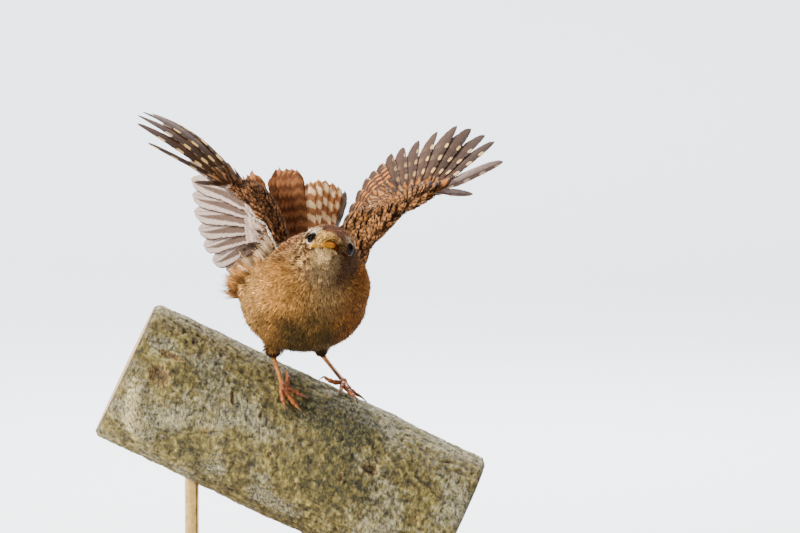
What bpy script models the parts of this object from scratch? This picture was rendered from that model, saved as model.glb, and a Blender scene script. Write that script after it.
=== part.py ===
"""A wren with raised wings, gripping a cut length of branch on a display stand.

Metres, +Z up. The origin is the centre of the stand base's underside. The bird
faces -Y, and its own left side is towards +X.
"""
import math

import bmesh
import bpy
from mathutils import Matrix, Vector

MM = 0.001
GAP = 0.3 * MM


def at(x, y, z):
    """A point or a vector given in millimetres."""
    return Vector((x, y, z)) * MM


# Stand
BASE_LENGTH = 136 * MM
BASE_WIDTH = 90 * MM
BASE_HEIGHT = 11 * MM
BASE_ROUNDING = 2.5 * MM
ROD_RADIUS = 2.2 * MM
ROD_SINK = 6 * MM
ROD_STEPS = 20
COLLAR_RADIUS = 4.6 * MM
COLLAR_HEIGHT = 3 * MM
ROD_PLACES = {"stand_rod_left": 31 * MM, "stand_rod_right": -34 * MM}

# Perch
PERCH_RADIUS = 22.9 * MM
PERCH_CENTRE = at(-0.08, 0, 67.74)
PERCH_SLOPE = math.radians(25.6)
PERCH_START = -60.6 * MM
PERCH_END = 53.9 * MM
PERCH_SIDES = 40
PERCH_RINGS = 16
BARK_SWELL = 0.35 * MM
KNOT_HEIGHT = 1.1 * MM
KNOT_PLACE = (32 * MM, math.radians(112))
KNOT_SPREAD = 7 * MM

# Torso, neck and head, as (centre, radii) of the forms that melt into one body
TORSO_FORMS = (
    (at(1.3, -8.4, 115.8), at(18.9, 18.7, 14.6)),
    (at(4.1, -14.6, 121.6), at(17.4, 15.2, 14.0)),
    (at(-8.6, -4.0, 121.2), at(11.0, 12.0, 10.5)),
    (at(3.8, -4.0, 123.9), at(15.0, 16.0, 9.4)),
    (at(2.2, 8.0, 121.6), at(10.3, 10.6, 9.4)),
    (at(7.5, -21.0, 128.4), at(11.2, 10.3, 9.4)),
    (at(8.2, -22.0, 132.6), at(9.6, 8.4, 7.6)),
)
BODY_VOXEL = 0.8 * MM
BODY_TRIANGLES = 2500

# Head frame: the point midway between the eyes and the head's own directions
HEAD_PLACE = at(9.9, -30.0, 136.3)
HEAD_FORWARD = Vector((0.10, -0.963, 0.25)).normalized()
HEAD_LEFT = Vector((0.9565, 0.024, -0.2914)).normalized()
HEAD_UP = HEAD_FORWARD.cross(HEAD_LEFT).normalized()
HEAD_FORMS = (
    ((0, -4.6, 0.0), (8.3, 8.0, 6.3)),
    ((0, 1.6, -1.0), (5.4, 5.2, 4.4)),
    ((4.4, -2.6, -3.4), (3.9, 4.4, 3.6)),
    ((-4.4, -2.6, -3.4), (3.9, 4.4, 3.6)),
    ((0, -2.0, -5.4), (5.6, 5.6, 4.4)),
)
NECK_NORMAL = Vector((0, -0.58, 0.82)).normalized()
HEAD_CUT = at(9, -24.6, 133.4)
NECK_LENGTH = 3.6 * MM

# Eyes, lids and bill, in the head frame
EYE_SIDE = 6.3
EYE_RADIUS = 2.2 * MM
EYE_FORWARD = 0.3
EYE_TURN = Vector((0.80, 0.57, 0.14)).normalized()
EYE_SINK = 1.35 * MM
LID_RADIUS = 2.15 * MM
LID_THICKNESS = 0.4 * MM
LID_STEPS = 14
BILL_BASE = 3.6
BILL_TIP = 15.8
BILL_STATIONS = (0.0, 0.2, 0.42, 0.64, 0.84, 1.0)
BILL_HALF_WIDTHS = (3.1, 2.2, 1.35, 0.9, 0.55, 0.14)
BILL_UPPER_DEPTHS = (1.5, 1.45, 1.15, 0.85, 0.55, 0.14)
BILL_LOWER_DEPTHS = (1.2, 1.1, 0.85, 0.6, 0.38, 0.12)
BILL_DROOP = (-2.2, -2.05, -1.9, -1.85, -2.0, -2.3)
BILL_SIDES = 8

# Wings: joints of each arm, and the feathers' directions from the tip inwards
ARM_JOINTS = {
    "wing_left": (at(14.5, -7, 124.5), at(18.2, -7, 130.6), at(21.0, -3, 142.1),
                  at(31.6, -9, 145.2), at(41.6, -7.9, 149.6)),
    "wing_right": (at(-1.5, -8, 124.5), at(-5.5, -9, 130.9), at(-11.8, 0, 133.4),
                   at(-11.9, -9, 144.4), at(-21.3, -10.1, 152.2)),
}
ARM_RADII = (4.6, 3.6, 2.6, 2.1, 1.5)
FEATHER_DIRECTIONS = {
    "wing_left": {
        0: (0.759, 0.647, -0.067), 1: (0.71, 0.648, 0.275), 2: (0.57, 0.725, 0.386),
        3: (0.469, 0.773, 0.428), 5: (0.304, 0.808, 0.505), 7: (0.085, 0.885, 0.455),
        9: (-0.096, 0.916, 0.391), 10: (-0.17, 0.938, 0.305), 12: (-0.244, 0.952, 0.184),
        15: (-0.362, 0.915, -0.176),
        18: (-0.47, 0.78, -0.42)},
    "wing_right": {
        0: (-0.719, -0.68, 0.141), 1: (-0.836, -0.29, 0.466), 2: (-0.822, -0.10, 0.561),
        3: (-0.793, 0.03, 0.608), 5: (-0.721, 0.27, 0.638), 7: (-0.71, 0.48, 0.51),
        9: (-0.66, 0.67, 0.32), 12: (-0.66, 0.75, 0.0), 15: (-0.57, 0.72, -0.40),
        18: (-0.32, 0.62, -0.72)},
}
PRIMARY_LENGTHS = (16, 32, 38, 40.5, 41.5, 41.5, 39.5, 37, 35.5, 34.5)
SECONDARY_LENGTHS = (33, 32.5, 32, 31, 30, 28)
TERTIAL_LENGTHS = (24, 19, 15)
FEATHER_LENGTHS = PRIMARY_LENGTHS + SECONDARY_LENGTHS + TERTIAL_LENGTHS
FEATHER_WEBS = ((1.6, 3.4),) * 10 + ((2.1, 3.6),) * 6 + ((2.4, 3.0),) * 3
WING_BOW = {
    "wing_left": {0: 0.6, 5: 1.2, 9: 1.6, 18: 1.2},
    "wing_right": {0: 0.0, 1: 0.2, 3: 2.4, 5: 4.4, 9: 4.2, 12: 3.0, 18: 1.6},
}
WING_SLOPE = {"wing_left": 0.42, "wing_right": 0.5}
WING_DEPTH = 40
VANE_THICKNESS = 0.5 * MM
VANE_OUTLINE = ((0.0, 0.12), (0.22, 0.28), (0.45, 0.85), (0.8, 0.95), (1.0, 0.12))
COVERT_OUTLINE = ((0.0, 0.4), (0.4, 1.0), (0.8, 0.9), (1.0, 0.25))
SIDE_SHARE = 0.29
VANE_ROOM = 0.95
# Rows of coverts as (places, length, webs, rise at the root, rise at the tip)
COVERT_ROWS = (
    ((1.4, 3.3, 5.2, 7.1, 9.0), 12.0, (1.8, 1.8), 0.85, 1.6),
    ((10.9, 12.6, 14.3, 16.0, 17.7), 13.0, (2.0, 2.0), 0.85, 1.7),
    ((5.0, 7.4, 9.8, 12.2, 14.6), 7.5, (2.4, 2.4), 1.5, 2.6),
    ((3.8, 5.8, 7.8, 9.8, 12.0, 14.2), 9.0, (2.2, 2.2), -0.85, -2.1),
)
PATAGIUM_THICKNESS = 1.6 * MM

# Tail
TAIL_ROOT = at(1.9, 13.0, 123.5)
TAIL_UP = Vector((0.0, 0.13, 0.99)).normalized()
TAIL_BACK = Vector((0.0, 0.99, -0.13)).normalized()
TAIL_ANGLES = tuple(math.radians(angle) for angle in
                    (-14, -12.2, -10.4, -8.6, -6.8, -5, 1.5, 4.8, 8.1, 11.4, 14.7, 18))
TAIL_LENGTHS = (29, 30.5, 31.5, 32, 32, 31.5, 28, 28, 28, 27.5, 26.5, 25)
TAIL_LAYERS = (5, 4, 3, 2, 1, 0, 1, 2, 3, 4, 5, 6)
TAIL_LAYER_STEP = 0.82
TAIL_ROOT_STEP = 0.7
TAIL_WEBS = (1.7, 1.7)
TAIL_BOW = 0.5
TAIL_OUTLINE = ((0.0, 0.3), (0.25, 0.5), (0.55, 0.9), (0.88, 1.0), (1.0, 0.35))
TAIL_STUB = at(5.2, 4.6, 7.0)
TAIL_COVERT_WEBS = (2.2, 2.2)
# Tail coverts as (sideways, backwards, lean backwards, angle, length)
TAIL_COVERTS = (
    (-2.6, -0.9, -0.13, math.radians(-12), 13), (2.6, -0.9, -0.13, math.radians(10), 12),
    (0.0, -1.8, -0.18, math.radians(-2), 14), (-2.6, 6.0, 0.12, math.radians(-10), 13),
    (2.6, 6.0, 0.12, math.radians(10), 12), (0.0, 7.0, 0.16, math.radians(0), 14),
)

# Legs, with each foot's places on the perch as (along, degrees round, height)
ANKLES = {"left": at(6.7, 12.3, 96.8), "right": at(-8.3, -4.0, 98.2)}
HIPS = {"left": at(5.5, 5.0, 108), "right": at(-7.6, -8.0, 109)}
FOOT_PLACES = {"left": (2.6, -1.0, 2.9), "right": (-14.4, 43.4, 2.3)}
THIGH_RADII = (4.2, 1.9)
TARSUS_RADII = (1.05, 0.75, 0.65, 0.7, 0.95)
PALM_RADIUS = 1.15 * MM
TOE_RADII = (0.9, 0.75, 0.7, 0.5)
CLAW_RADII = (0.44, 0.38, 0.12)
CLAW_REACH = 0.35
TOES = {
    "left": {
        "hallux": ((0.6, 2, 1.7), (-1.2, 4, 1.6), (-2.8, 3, 1.7), (-4.6, 6.5, 0.4)),
        "inner": ((2.9, 5, 2.0), (2.9, 9, 1.5), (2.9, 13, 1.15), (2.8, 20.5, 0.4)),
        "middle": ((5.0, 1, 1.7), (6.6, 3, 1.25), (8.9, 5.5, 1.1), (12.4, 8.7, 0.4)),
        "outer": ((4.4, 7, 1.7), (5.9, 10, 1.25), (7.4, 13.2, 1.1), (9.4, 20, 0.4)),
    },
    "right": {
        "hallux": ((-13.6, 38, 1.6), (-13.9, 31, 1.2), (-14.6, 24, 1.05), (-15.8, 13.5, 0.4)),
        "inner": ((-12.0, 41.5, 1.5), (-9.4, 41.5, 1.2), (-7.6, 41, 1.05), (-4.1, 40, 0.4)),
        "middle": ((-12.3, 46.5, 1.5), (-9.3, 50.6, 1.2), (-7.5, 52.3, 1.05), (-4.0, 54.2, 0.4)),
        "outer": ((-13.9, 48, 1.5), (-12.4, 52.7, 1.2), (-11.5, 55.5, 1.05), (-9.7, 62, 0.4)),
    },
}

MATERIALS = {
    "plumage_brown": ((0.26, 0.13, 0.05), 0.85, 0.0),
    "plumage_flight": ((0.20, 0.13, 0.08), 0.7, 0.0),
    "bill_horn": ((0.62, 0.36, 0.10), 0.35, 0.0),
    "leg_skin": ((0.55, 0.27, 0.14), 0.5, 0.0),
    "claw_horn": ((0.30, 0.22, 0.16), 0.35, 0.0),
    "eye_dark": ((0.02, 0.015, 0.012), 0.05, 0.0),
    "bark": ((0.24, 0.23, 0.15), 0.9, 0.0),
    "stand_wood": ((0.16, 0.09, 0.05), 0.4, 0.0),
    "stand_metal": ((0.45, 0.40, 0.30), 0.3, 0.9),
}


def clear_scene():
    for obj in list(bpy.data.objects):
        bpy.data.objects.remove(obj, do_unlink=True)


def new_collection(name):
    collection = bpy.data.collections.new(name)
    bpy.context.scene.collection.children.link(collection)
    return collection


def make_materials():
    """One Principled material for each finish."""
    for name, (colour, roughness, metallic) in MATERIALS.items():
        material = bpy.data.materials.new(name)
        material.use_nodes = True
        shader = material.node_tree.nodes["Principled BSDF"]
        shader.inputs["Base Color"].default_value = (*colour, 1)
        shader.inputs["Roughness"].default_value = roughness
        shader.inputs["Metallic"].default_value = metallic


def mesh_object(name, bm):
    """A new object that takes the shape built in bm."""
    mesh = bpy.data.meshes.new(name)
    bm.to_mesh(mesh)
    bm.free()
    obj = bpy.data.objects.new(name, mesh)
    WORK.objects.link(obj)
    return obj


def finish(obj, name, material, pivot):
    """Give a sub-part its name, material, parent and an origin at its pivot."""
    obj.name = name
    obj.data.name = name
    obj.data.materials.clear()
    obj.data.materials.append(bpy.data.materials[material])
    obj.data.transform(Matrix.Translation(-pivot))
    obj.location = pivot
    obj.parent = ROOT
    obj.data.shade_smooth()
    obj.data.set_sharp_from_angle(angle=math.radians(40))
    WORK.objects.unlink(obj)
    PARTS.objects.link(obj)
    return obj


def apply_modifiers(obj):
    """Keep the evaluated shape as the object's own mesh."""
    graph = bpy.context.evaluated_depsgraph_get()
    mesh = bpy.data.meshes.new_from_object(obj.evaluated_get(graph))
    obj.modifiers.clear()
    obj.data = mesh
    return obj


def add_modifier(obj, kind, **settings):
    modifier = obj.modifiers.new(kind.lower(), kind)
    for key, value in settings.items():
        setattr(modifier, key, value)
    return modifier


def copy_object(obj, name):
    twin = bpy.data.objects.new(name, obj.data.copy())
    WORK.objects.link(twin)
    return twin


def islands(bm):
    """The separate closed surfaces of a mesh, as lists of faces."""
    left = set(bm.faces)
    groups = []
    while left:
        group = []
        stack = [left.pop()]
        while stack:
            face = stack.pop()
            group.append(face)
            for edge in face.edges:
                for other in edge.link_faces:
                    if other in left:
                        left.discard(other)
                        stack.append(other)
        groups.append(group)
    return groups


def keep_largest(obj):
    """Drop every closed surface but the one with the most area."""
    bm = bmesh.new()
    bm.from_mesh(obj.data)
    groups = islands(bm)
    largest = max(groups, key=lambda faces: sum(face.calc_area() for face in faces))
    scraps = [face for group in groups if group is not largest for face in group]
    bmesh.ops.delete(bm, geom=scraps, context="FACES")
    bmesh.ops.triangulate(bm, faces=bm.faces)
    bm.to_mesh(obj.data)
    bm.free()
    return obj


def cut(obj, cutters):
    """Take the cutters' shapes out of obj."""
    for cutter in cutters:
        add_modifier(obj, "BOOLEAN", operation="DIFFERENCE", solver="EXACT", object=cutter)
        apply_modifiers(obj)
    return keep_largest(obj)


def fuse(pieces, solver="EXACT"):
    """Join closed pieces into one body with a single union."""
    group = new_collection("fusing")
    for piece in pieces[1:]:
        group.objects.link(piece)
        WORK.objects.unlink(piece)
    add_modifier(pieces[0], "BOOLEAN", operation="UNION", solver=solver,
                 operand_type="COLLECTION", collection=group)
    apply_modifiers(pieces[0])
    for piece in pieces[1:]:
        bpy.data.objects.remove(piece, do_unlink=True)
    bpy.data.collections.remove(group)
    return keep_largest(pieces[0])


def ellipsoid(centre, radii, turn=None, segments=24):
    """A sphere stretched to three radii; turn holds its own directions."""
    bm = bmesh.new()
    place = Matrix.Translation(centre)
    if turn:
        place = place @ turn.to_4x4()
    bmesh.ops.create_uvsphere(bm, u_segments=segments, v_segments=segments // 2, radius=1,
                              matrix=place @ Matrix.Diagonal((*radii, 1)))
    return mesh_object("form", bm)


def melt(forms, voxel, triangles, rounds=6):
    """Melt overlapping forms into one smooth closed skin of about the given triangles."""
    bm = bmesh.new()
    for form in forms:
        bm.from_mesh(form.data)
        bpy.data.objects.remove(form, do_unlink=True)
    skin = mesh_object("skin", bm)
    add_modifier(skin, "REMESH", mode="VOXEL", voxel_size=voxel, adaptivity=0)
    add_modifier(skin, "SMOOTH", factor=0.5, iterations=rounds)
    apply_modifiers(skin)
    add_modifier(skin, "DECIMATE", ratio=triangles / (2 * len(skin.data.polygons)))
    apply_modifiers(skin)
    return keep_largest(skin)


def smooth_path(points, radii, steps=3):
    """Points and radii of a smooth curve through the given ones."""
    path = []
    widths = []
    count = len(points)
    for i in range(count - 1):
        before = points[max(i - 1, 0)]
        after = points[min(i + 2, count - 1)]
        for k in range(steps):
            t = k / steps
            path.append(catmull(before, points[i], points[i + 1], after, t))
            widths.append(radii[i] + (radii[i + 1] - radii[i]) * t)
    path.append(points[-1])
    widths.append(radii[-1])
    return path, widths


def catmull(p0, p1, p2, p3, t):
    """A point on the smooth curve from p1 to p2."""
    ahead = (p2 - p0) * 0.5
    behind = (p3 - p1) * 0.5
    rise = 3 * t ** 2 - 2 * t ** 3
    return (p1 + (p2 - p1) * rise
            + ahead * (t ** 3 - 2 * t ** 2 + t) + behind * (t ** 3 - t ** 2))


def tube(points, radii):
    """A tapering tube with closed ends; radii are in millimetres."""
    curve = bpy.data.curves.new("tube", "CURVE")
    curve.dimensions = "3D"
    curve.bevel_depth = 1
    curve.bevel_resolution = 1
    curve.use_fill_caps = True
    spline = curve.splines.new("POLY")
    spline.points.add(len(points) - 1)
    for target, point, radius in zip(spline.points, points, radii):
        target.co = (*point, 1)
        target.radius = radius * MM
    wire = bpy.data.objects.new("tube", curve)
    WORK.objects.link(wire)
    graph = bpy.context.evaluated_depsgraph_get()
    bm = bmesh.new()
    bm.from_mesh(bpy.data.meshes.new_from_object(wire.evaluated_get(graph)))
    bmesh.ops.remove_doubles(bm, verts=bm.verts, dist=0.005 * MM)
    bmesh.ops.recalc_face_normals(bm, faces=bm.faces)
    bmesh.ops.triangulate(bm, faces=bm.faces)
    bpy.data.objects.remove(wire, do_unlink=True)
    return mesh_object("tube", bm)


def sheet(rows, thickness):
    """A closed plate around the surface that the rows of points span."""
    bm = bmesh.new()
    across = len(rows[0]) - 1
    along = len(rows) - 1
    bmesh.ops.create_grid(bm, x_segments=across, y_segments=along, size=1)
    for vert in bm.verts:
        i = round((vert.co.x + 1) / 2 * across)
        j = round((vert.co.y + 1) / 2 * along)
        vert.co = rows[j][i]
    bmesh.ops.triangulate(bm, faces=bm.faces)
    bm.normal_update()
    for vert in bm.verts:
        vert.co -= vert.normal * thickness / 2
    bmesh.ops.solidify(bm, geom=list(bm.faces), thickness=-thickness)
    bmesh.ops.recalc_face_normals(bm, faces=bm.faces)
    return mesh_object("sheet", bm)


# Perch and stand
def perch_axes():
    """The perch's directions along its length and square to it, upwards."""
    along = Vector((math.cos(PERCH_SLOPE), 0, -math.sin(PERCH_SLOPE)))
    upwards = Vector((math.sin(PERCH_SLOPE), 0, math.cos(PERCH_SLOPE)))
    return along, upwards


def bark_radius(along, angle):
    """The perch's radius: a gentle swell everywhere and one knot."""
    swell = math.sin(along / (9 * MM) + 2 * angle) * math.sin(3 * angle + 0.7)
    reach = (along - KNOT_PLACE[0]) ** 2 + (PERCH_RADIUS * (angle - KNOT_PLACE[1])) ** 2
    return PERCH_RADIUS + BARK_SWELL * swell + KNOT_HEIGHT * math.exp(-reach / KNOT_SPREAD ** 2)


def perch_point(along, degrees, height):
    """A point over the bark; degrees turn from the top towards -Y, lengths in millimetres."""
    axis, upwards = perch_axes()
    angle = math.radians(degrees)
    radius = bark_radius(along * MM, angle) + height * MM
    outwards = upwards * math.cos(angle) + Vector((0, -math.sin(angle), 0))
    return PERCH_CENTRE + axis * along * MM + outwards * radius


def make_perch(rod_holes):
    axis, upwards = perch_axes()
    bm = bmesh.new()
    bmesh.ops.create_cone(bm, cap_ends=True, segments=PERCH_SIDES, radius1=1, radius2=1, depth=1)
    long_edges = [edge for edge in bm.edges if abs(edge.verts[0].co.z - edge.verts[1].co.z) > 0.5]
    bmesh.ops.subdivide_edges(bm, edges=long_edges, cuts=PERCH_RINGS - 1)
    for vert in bm.verts:
        along = PERCH_START + (PERCH_END - PERCH_START) * (vert.co.z + 0.5)
        angle = math.atan2(vert.co.y, vert.co.x)
        outwards = upwards * math.cos(angle) + Vector((0, -math.sin(angle), 0))
        vert.co = PERCH_CENTRE + axis * along + outwards * bark_radius(along, angle)
    bmesh.ops.recalc_face_normals(bm, faces=bm.faces)
    bmesh.ops.triangulate(bm, faces=bm.faces)
    perch = cut(mesh_object("perch", bm), rod_holes)
    finish(perch, "perch", "bark", PERCH_CENTRE)


def rod_top(x):
    """How high a rod reaches: a little way into the perch above it."""
    axis_height = PERCH_CENTRE.z - (x - PERCH_CENTRE.x) * math.tan(PERCH_SLOPE)
    return axis_height - PERCH_RADIUS / math.cos(PERCH_SLOPE) + ROD_SINK


def turned(name, profile):
    """A solid turned round the Z axis from (radius, height) pairs, top to bottom."""
    bm = bmesh.new()
    verts = [bm.verts.new((radius, 0, height)) for radius, height in profile]
    for first, second in zip(verts, verts[1:]):
        bm.edges.new((first, second))
    obj = mesh_object(name, bm)
    add_modifier(obj, "SCREW", steps=ROD_STEPS, render_steps=ROD_STEPS, merge_threshold=0.01 * MM,
                 use_merge_vertices=True)
    apply_modifiers(obj)
    bm = bmesh.new()
    bm.from_mesh(obj.data)
    bmesh.ops.remove_doubles(bm, verts=bm.verts, dist=0.005 * MM)
    bmesh.ops.recalc_face_normals(bm, faces=bm.faces)
    bm.to_mesh(obj.data)
    bm.free()
    return obj


def make_rod(name, x):
    """A rod from the base's top into the perch, and the cutter of its hole there."""
    bottom = BASE_HEIGHT + GAP
    top = rod_top(x)
    profile = [(0, top), (ROD_RADIUS - 0.4 * MM, top), (ROD_RADIUS, top - 0.4 * MM),
               (ROD_RADIUS, bottom + COLLAR_HEIGHT), (COLLAR_RADIUS - 0.6 * MM, bottom + COLLAR_HEIGHT),
               (COLLAR_RADIUS, bottom + COLLAR_HEIGHT - 0.6 * MM), (COLLAR_RADIUS, bottom), (0, bottom)]
    rod = turned(name, profile)
    rod.data.transform(Matrix.Translation((x, 0, 0)))
    hole_top = top + GAP
    hole = turned(name + "_hole", [(0, hole_top), (ROD_RADIUS + GAP, hole_top),
                                   (ROD_RADIUS + GAP, BASE_HEIGHT), (0, BASE_HEIGHT)])
    hole.data.transform(Matrix.Translation((x, 0, 0)))
    finish(rod, name, "stand_metal", Vector((x, 0, bottom)))
    return hole


def make_base():
    bm = bmesh.new()
    size = Matrix.Diagonal((BASE_LENGTH, BASE_WIDTH, BASE_HEIGHT, 1))
    bmesh.ops.create_cube(bm, size=1, matrix=Matrix.Translation((0, 0, BASE_HEIGHT / 2)) @ size)
    edges = [edge for edge in bm.edges if max(vert.co.z for vert in edge.verts) > BASE_HEIGHT / 2]
    bmesh.ops.bevel(bm, geom=edges, offset=BASE_ROUNDING, segments=3, profile=0.5,
                    affect="EDGES", material=-1)
    finish(mesh_object("base", bm), "stand_base", "stand_wood", Vector((0, 0, 0)))


# Torso, neck and head
def head_point(side, forward, up):
    """A point in the head's own frame, in millimetres."""
    return HEAD_PLACE + (HEAD_LEFT * side + HEAD_FORWARD * forward + HEAD_UP * up) * MM


def head_turn():
    return Matrix((HEAD_LEFT, HEAD_FORWARD, HEAD_UP)).transposed()


def half_space(point, normal):
    """A block that fills the side of a plane that its normal points to."""
    bm = bmesh.new()
    side = 200 * MM
    turn = normal.to_track_quat("Z", "Y").to_matrix().to_4x4()
    place = Matrix.Translation(point) @ turn @ Matrix.Translation((0, 0, side / 2))
    bmesh.ops.create_cube(bm, size=side, matrix=place)
    return mesh_object("half_space", bm)


def body_skin():
    """The torso, neck and head as one melted form."""
    forms = [ellipsoid(centre, radii) for centre, radii in TORSO_FORMS]
    for centre, radii in HEAD_FORMS:
        forms.append(ellipsoid(head_point(*centre), at(*radii), head_turn()))
    return melt(forms, BODY_VOXEL, BODY_TRIANGLES)


def swollen(obj, amount):
    """A copy grown outwards along its normals, to cut clearances with."""
    twin = copy_object(obj, "clearance")
    add_modifier(twin, "DISPLACE", strength=amount, mid_level=0)
    return apply_modifiers(twin)


def eye_frame(side):
    """An eye's centre and the way it looks; side is 1 for the bird's left."""
    look = HEAD_LEFT * EYE_TURN.x * side + HEAD_FORWARD * EYE_TURN.y + HEAD_UP * EYE_TURN.z
    surface = head_point(EYE_SIDE * side, EYE_FORWARD, 0)
    return surface - look * EYE_SINK, look


def make_eye(side, name):
    centre, look = eye_frame(side)
    bm = bmesh.new()
    turn = look.to_track_quat("Z", "Y").to_matrix().to_4x4()
    bmesh.ops.create_uvsphere(bm, u_segments=14, v_segments=8, radius=EYE_RADIUS,
                              matrix=Matrix.Translation(centre) @ turn)
    finish(mesh_object(name, bm), name, "eye_dark", centre)


def lid_ring(side):
    """The raised ring of the eyelids."""
    centre, look = eye_frame(side)
    turn = look.to_track_quat("Z", "Y").to_matrix().to_4x4()
    ring = Matrix.Translation(centre + look * EYE_SINK) @ turn
    bm = bmesh.new()
    bmesh.ops.create_circle(bm, segments=6, radius=LID_THICKNESS,
                            matrix=Matrix.Translation((LID_RADIUS, 0, 0))
                            @ Matrix.Rotation(math.pi / 2, 4, "X"))
    bmesh.ops.spin(bm, geom=list(bm.verts) + list(bm.edges), axis=(0, 0, 1), cent=(0, 0, 0),
                   angle=2 * math.pi, steps=LID_STEPS, use_merge=True)
    bmesh.ops.remove_doubles(bm, verts=bm.verts, dist=0.005 * MM)
    bmesh.ops.recalc_face_normals(bm, faces=bm.faces)
    bmesh.ops.transform(bm, matrix=ring, verts=bm.verts)
    return mesh_object("lid", bm)


def eye_socket(side):
    centre, look = eye_frame(side)
    size = EYE_RADIUS + GAP
    return ellipsoid(centre, Vector((size, size, size)), segments=16)


def mandible(depths, sense):
    """Half of the bill, above the mouth line for sense 1 and below it for -1."""
    bm = bmesh.new()
    rings = []
    for t, width, depth, droop in zip(BILL_STATIONS, BILL_HALF_WIDTHS, depths, BILL_DROOP):
        forward = BILL_BASE + (BILL_TIP - BILL_BASE) * t
        ring = []
        for k in range(BILL_SIDES + 1):
            angle = math.pi * k / BILL_SIDES
            side = width * math.cos(angle)
            up = droop + sense * (0.15 + depth * math.sin(angle) ** 0.8)
            ring.append(bm.verts.new(head_point(side, forward, up)))
        rings.append(ring)
    for near, far in zip(rings, rings[1:]):
        for k in range(BILL_SIDES + 1):
            following = (k + 1) % (BILL_SIDES + 1)
            bm.faces.new((near[k], near[following], far[following], far[k]))
    bm.faces.new(rings[0])
    bm.faces.new(rings[-1])
    bmesh.ops.recalc_face_normals(bm, faces=bm.faces)
    bmesh.ops.triangulate(bm, faces=bm.faces)
    return mesh_object("mandible", bm)


def make_bill():
    """Both mandibles, and the socket that they leave in the face."""
    upper = mandible(BILL_UPPER_DEPTHS, 1)
    nostrils = [ellipsoid(head_point(1.25 * side, 7.0, -0.85), at(0.4, 0.7, 0.3), head_turn(), 12)
                for side in (1, -1)]
    cut(upper, nostrils)
    lower = mandible(BILL_LOWER_DEPTHS, -1)
    sockets = [swollen(upper, GAP), swollen(lower, GAP)]
    finish(upper, "bill_upper", "bill_horn", head_point(0, BILL_BASE, BILL_DROOP[0]))
    finish(lower, "bill_lower", "bill_horn", head_point(0, BILL_BASE, BILL_DROOP[0]))
    return sockets


def make_body(skin, bill_sockets):
    """Part the skin into head, neck and torso, and fit the head's details."""
    neck_low = HEAD_CUT - NECK_NORMAL * NECK_LENGTH
    half_gap = NECK_NORMAL * GAP / 2
    head = cut(copy_object(skin, "head"), [half_space(HEAD_CUT + half_gap, -NECK_NORMAL)])
    head = fuse([head, lid_ring(1), lid_ring(-1)])
    cut(head, [eye_socket(1), eye_socket(-1)] + bill_sockets)
    finish(head, "head", "plumage_brown", HEAD_PLACE)
    neck = cut(copy_object(skin, "neck"), [half_space(HEAD_CUT - half_gap, NECK_NORMAL),
                                           half_space(neck_low + half_gap, -NECK_NORMAL)])
    finish(neck, "neck", "plumage_brown", HEAD_CUT)
    torso = cut(copy_object(skin, "torso"), [half_space(neck_low - half_gap, NECK_NORMAL)])
    finish(torso, "torso", "plumage_brown", TORSO_FORMS[0][0])
    make_eye(1, "eye_left")
    make_eye(-1, "eye_right")


# Wings
def interpolate(table, place):
    """A direction from a table of key ones, smoothly between them and straight on past them."""
    keys = sorted(table)
    points = [Vector(table[key]).normalized() for key in keys]
    i = min(max(sum(key <= place for key in keys) - 1, 0), len(keys) - 2)
    t = (place - keys[i]) / (keys[i + 1] - keys[i])
    if not 0 <= t <= 1:
        return points[i].lerp(points[i + 1], t).normalized()
    before = points[max(i - 1, 0)]
    after = points[min(i + 2, len(keys) - 1)]
    return catmull(before, points[i], points[i + 1], after, t).normalized()


def between(table, place):
    """A value from a table of key ones, on straight lines between them."""
    keys = sorted(table)
    i = min(max(sum(key <= place for key in keys) - 1, 0), len(keys) - 2)
    t = min(max((place - keys[i]) / (keys[i + 1] - keys[i]), 0), 1)
    return table[keys[i]] + (table[keys[i + 1]] - table[keys[i]]) * t


def wing_surface(wing, place, reach):
    """A point of the wing's surface, reach away from the feathers' roots.

    Places 0 to 9 count the hand's feathers from its tip, 10 to 18 the forearm's.
    """
    elbow, wrist, fingertip = ARM_JOINTS[wing][2:]
    if place <= 9.4:
        root = wrist.lerp(fingertip, 1 - place / 9.4)
    else:
        root = wrist.lerp(elbow, (place - 9.4) / 8.6)
    return root + interpolate(FEATHER_DIRECTIONS[wing], place) * reach * MM


def wing_step(wing, place, reach):
    """The way to the next feather outwards, and how far it slips along this one."""
    along = interpolate(FEATHER_DIRECTIONS[wing], place)
    step = (wing_surface(wing, place - 0.5, reach) - wing_surface(wing, place + 0.5, reach)) / MM
    slip = step.dot(along)
    return along, step - along * slip, slip


def wing_point(wing, place, reach, aside, height):
    """A point beside a feather's shaft, aside to the leading side and height over the wing."""
    _, step, slip = wing_step(wing, place, reach)
    shift = aside / step.length
    middle = wing_surface(wing, place - shift, reach - shift * slip)
    along, step, _ = wing_step(wing, place - shift, reach)
    lift = step.cross(along) if wing == "wing_left" else along.cross(step)
    depth = reach / WING_DEPTH
    bow = between(WING_BOW[wing], place - shift) * 4 * depth * (1 - depth)
    return middle + lift.normalized() * (height + bow) * MM


def wing_vane(wing, place, length, webs, low, high, slope, gap, outline):
    """A feather's blade that follows the wing; low and high are its rise at root and tip.

    Where the next feather, gap places on, is too near to pass under it, it keeps beside it.
    """
    rows = []
    for t, width in outline:
        rise = low + (high - low) * math.sqrt(t)
        spacing = wing_step(wing, place, length * t)[1].length * gap
        limit = SIDE_SHARE * spacing if spacing * slope < VANE_ROOM else spacing * 2
        sides = (min(webs[0] * width, limit), 0, -min(webs[1] * width, limit))
        rows.append([wing_point(wing, place, length * t, aside, rise + slope * aside)
                     for aside in sides])
    return sheet(rows, VANE_THICKNESS)


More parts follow.
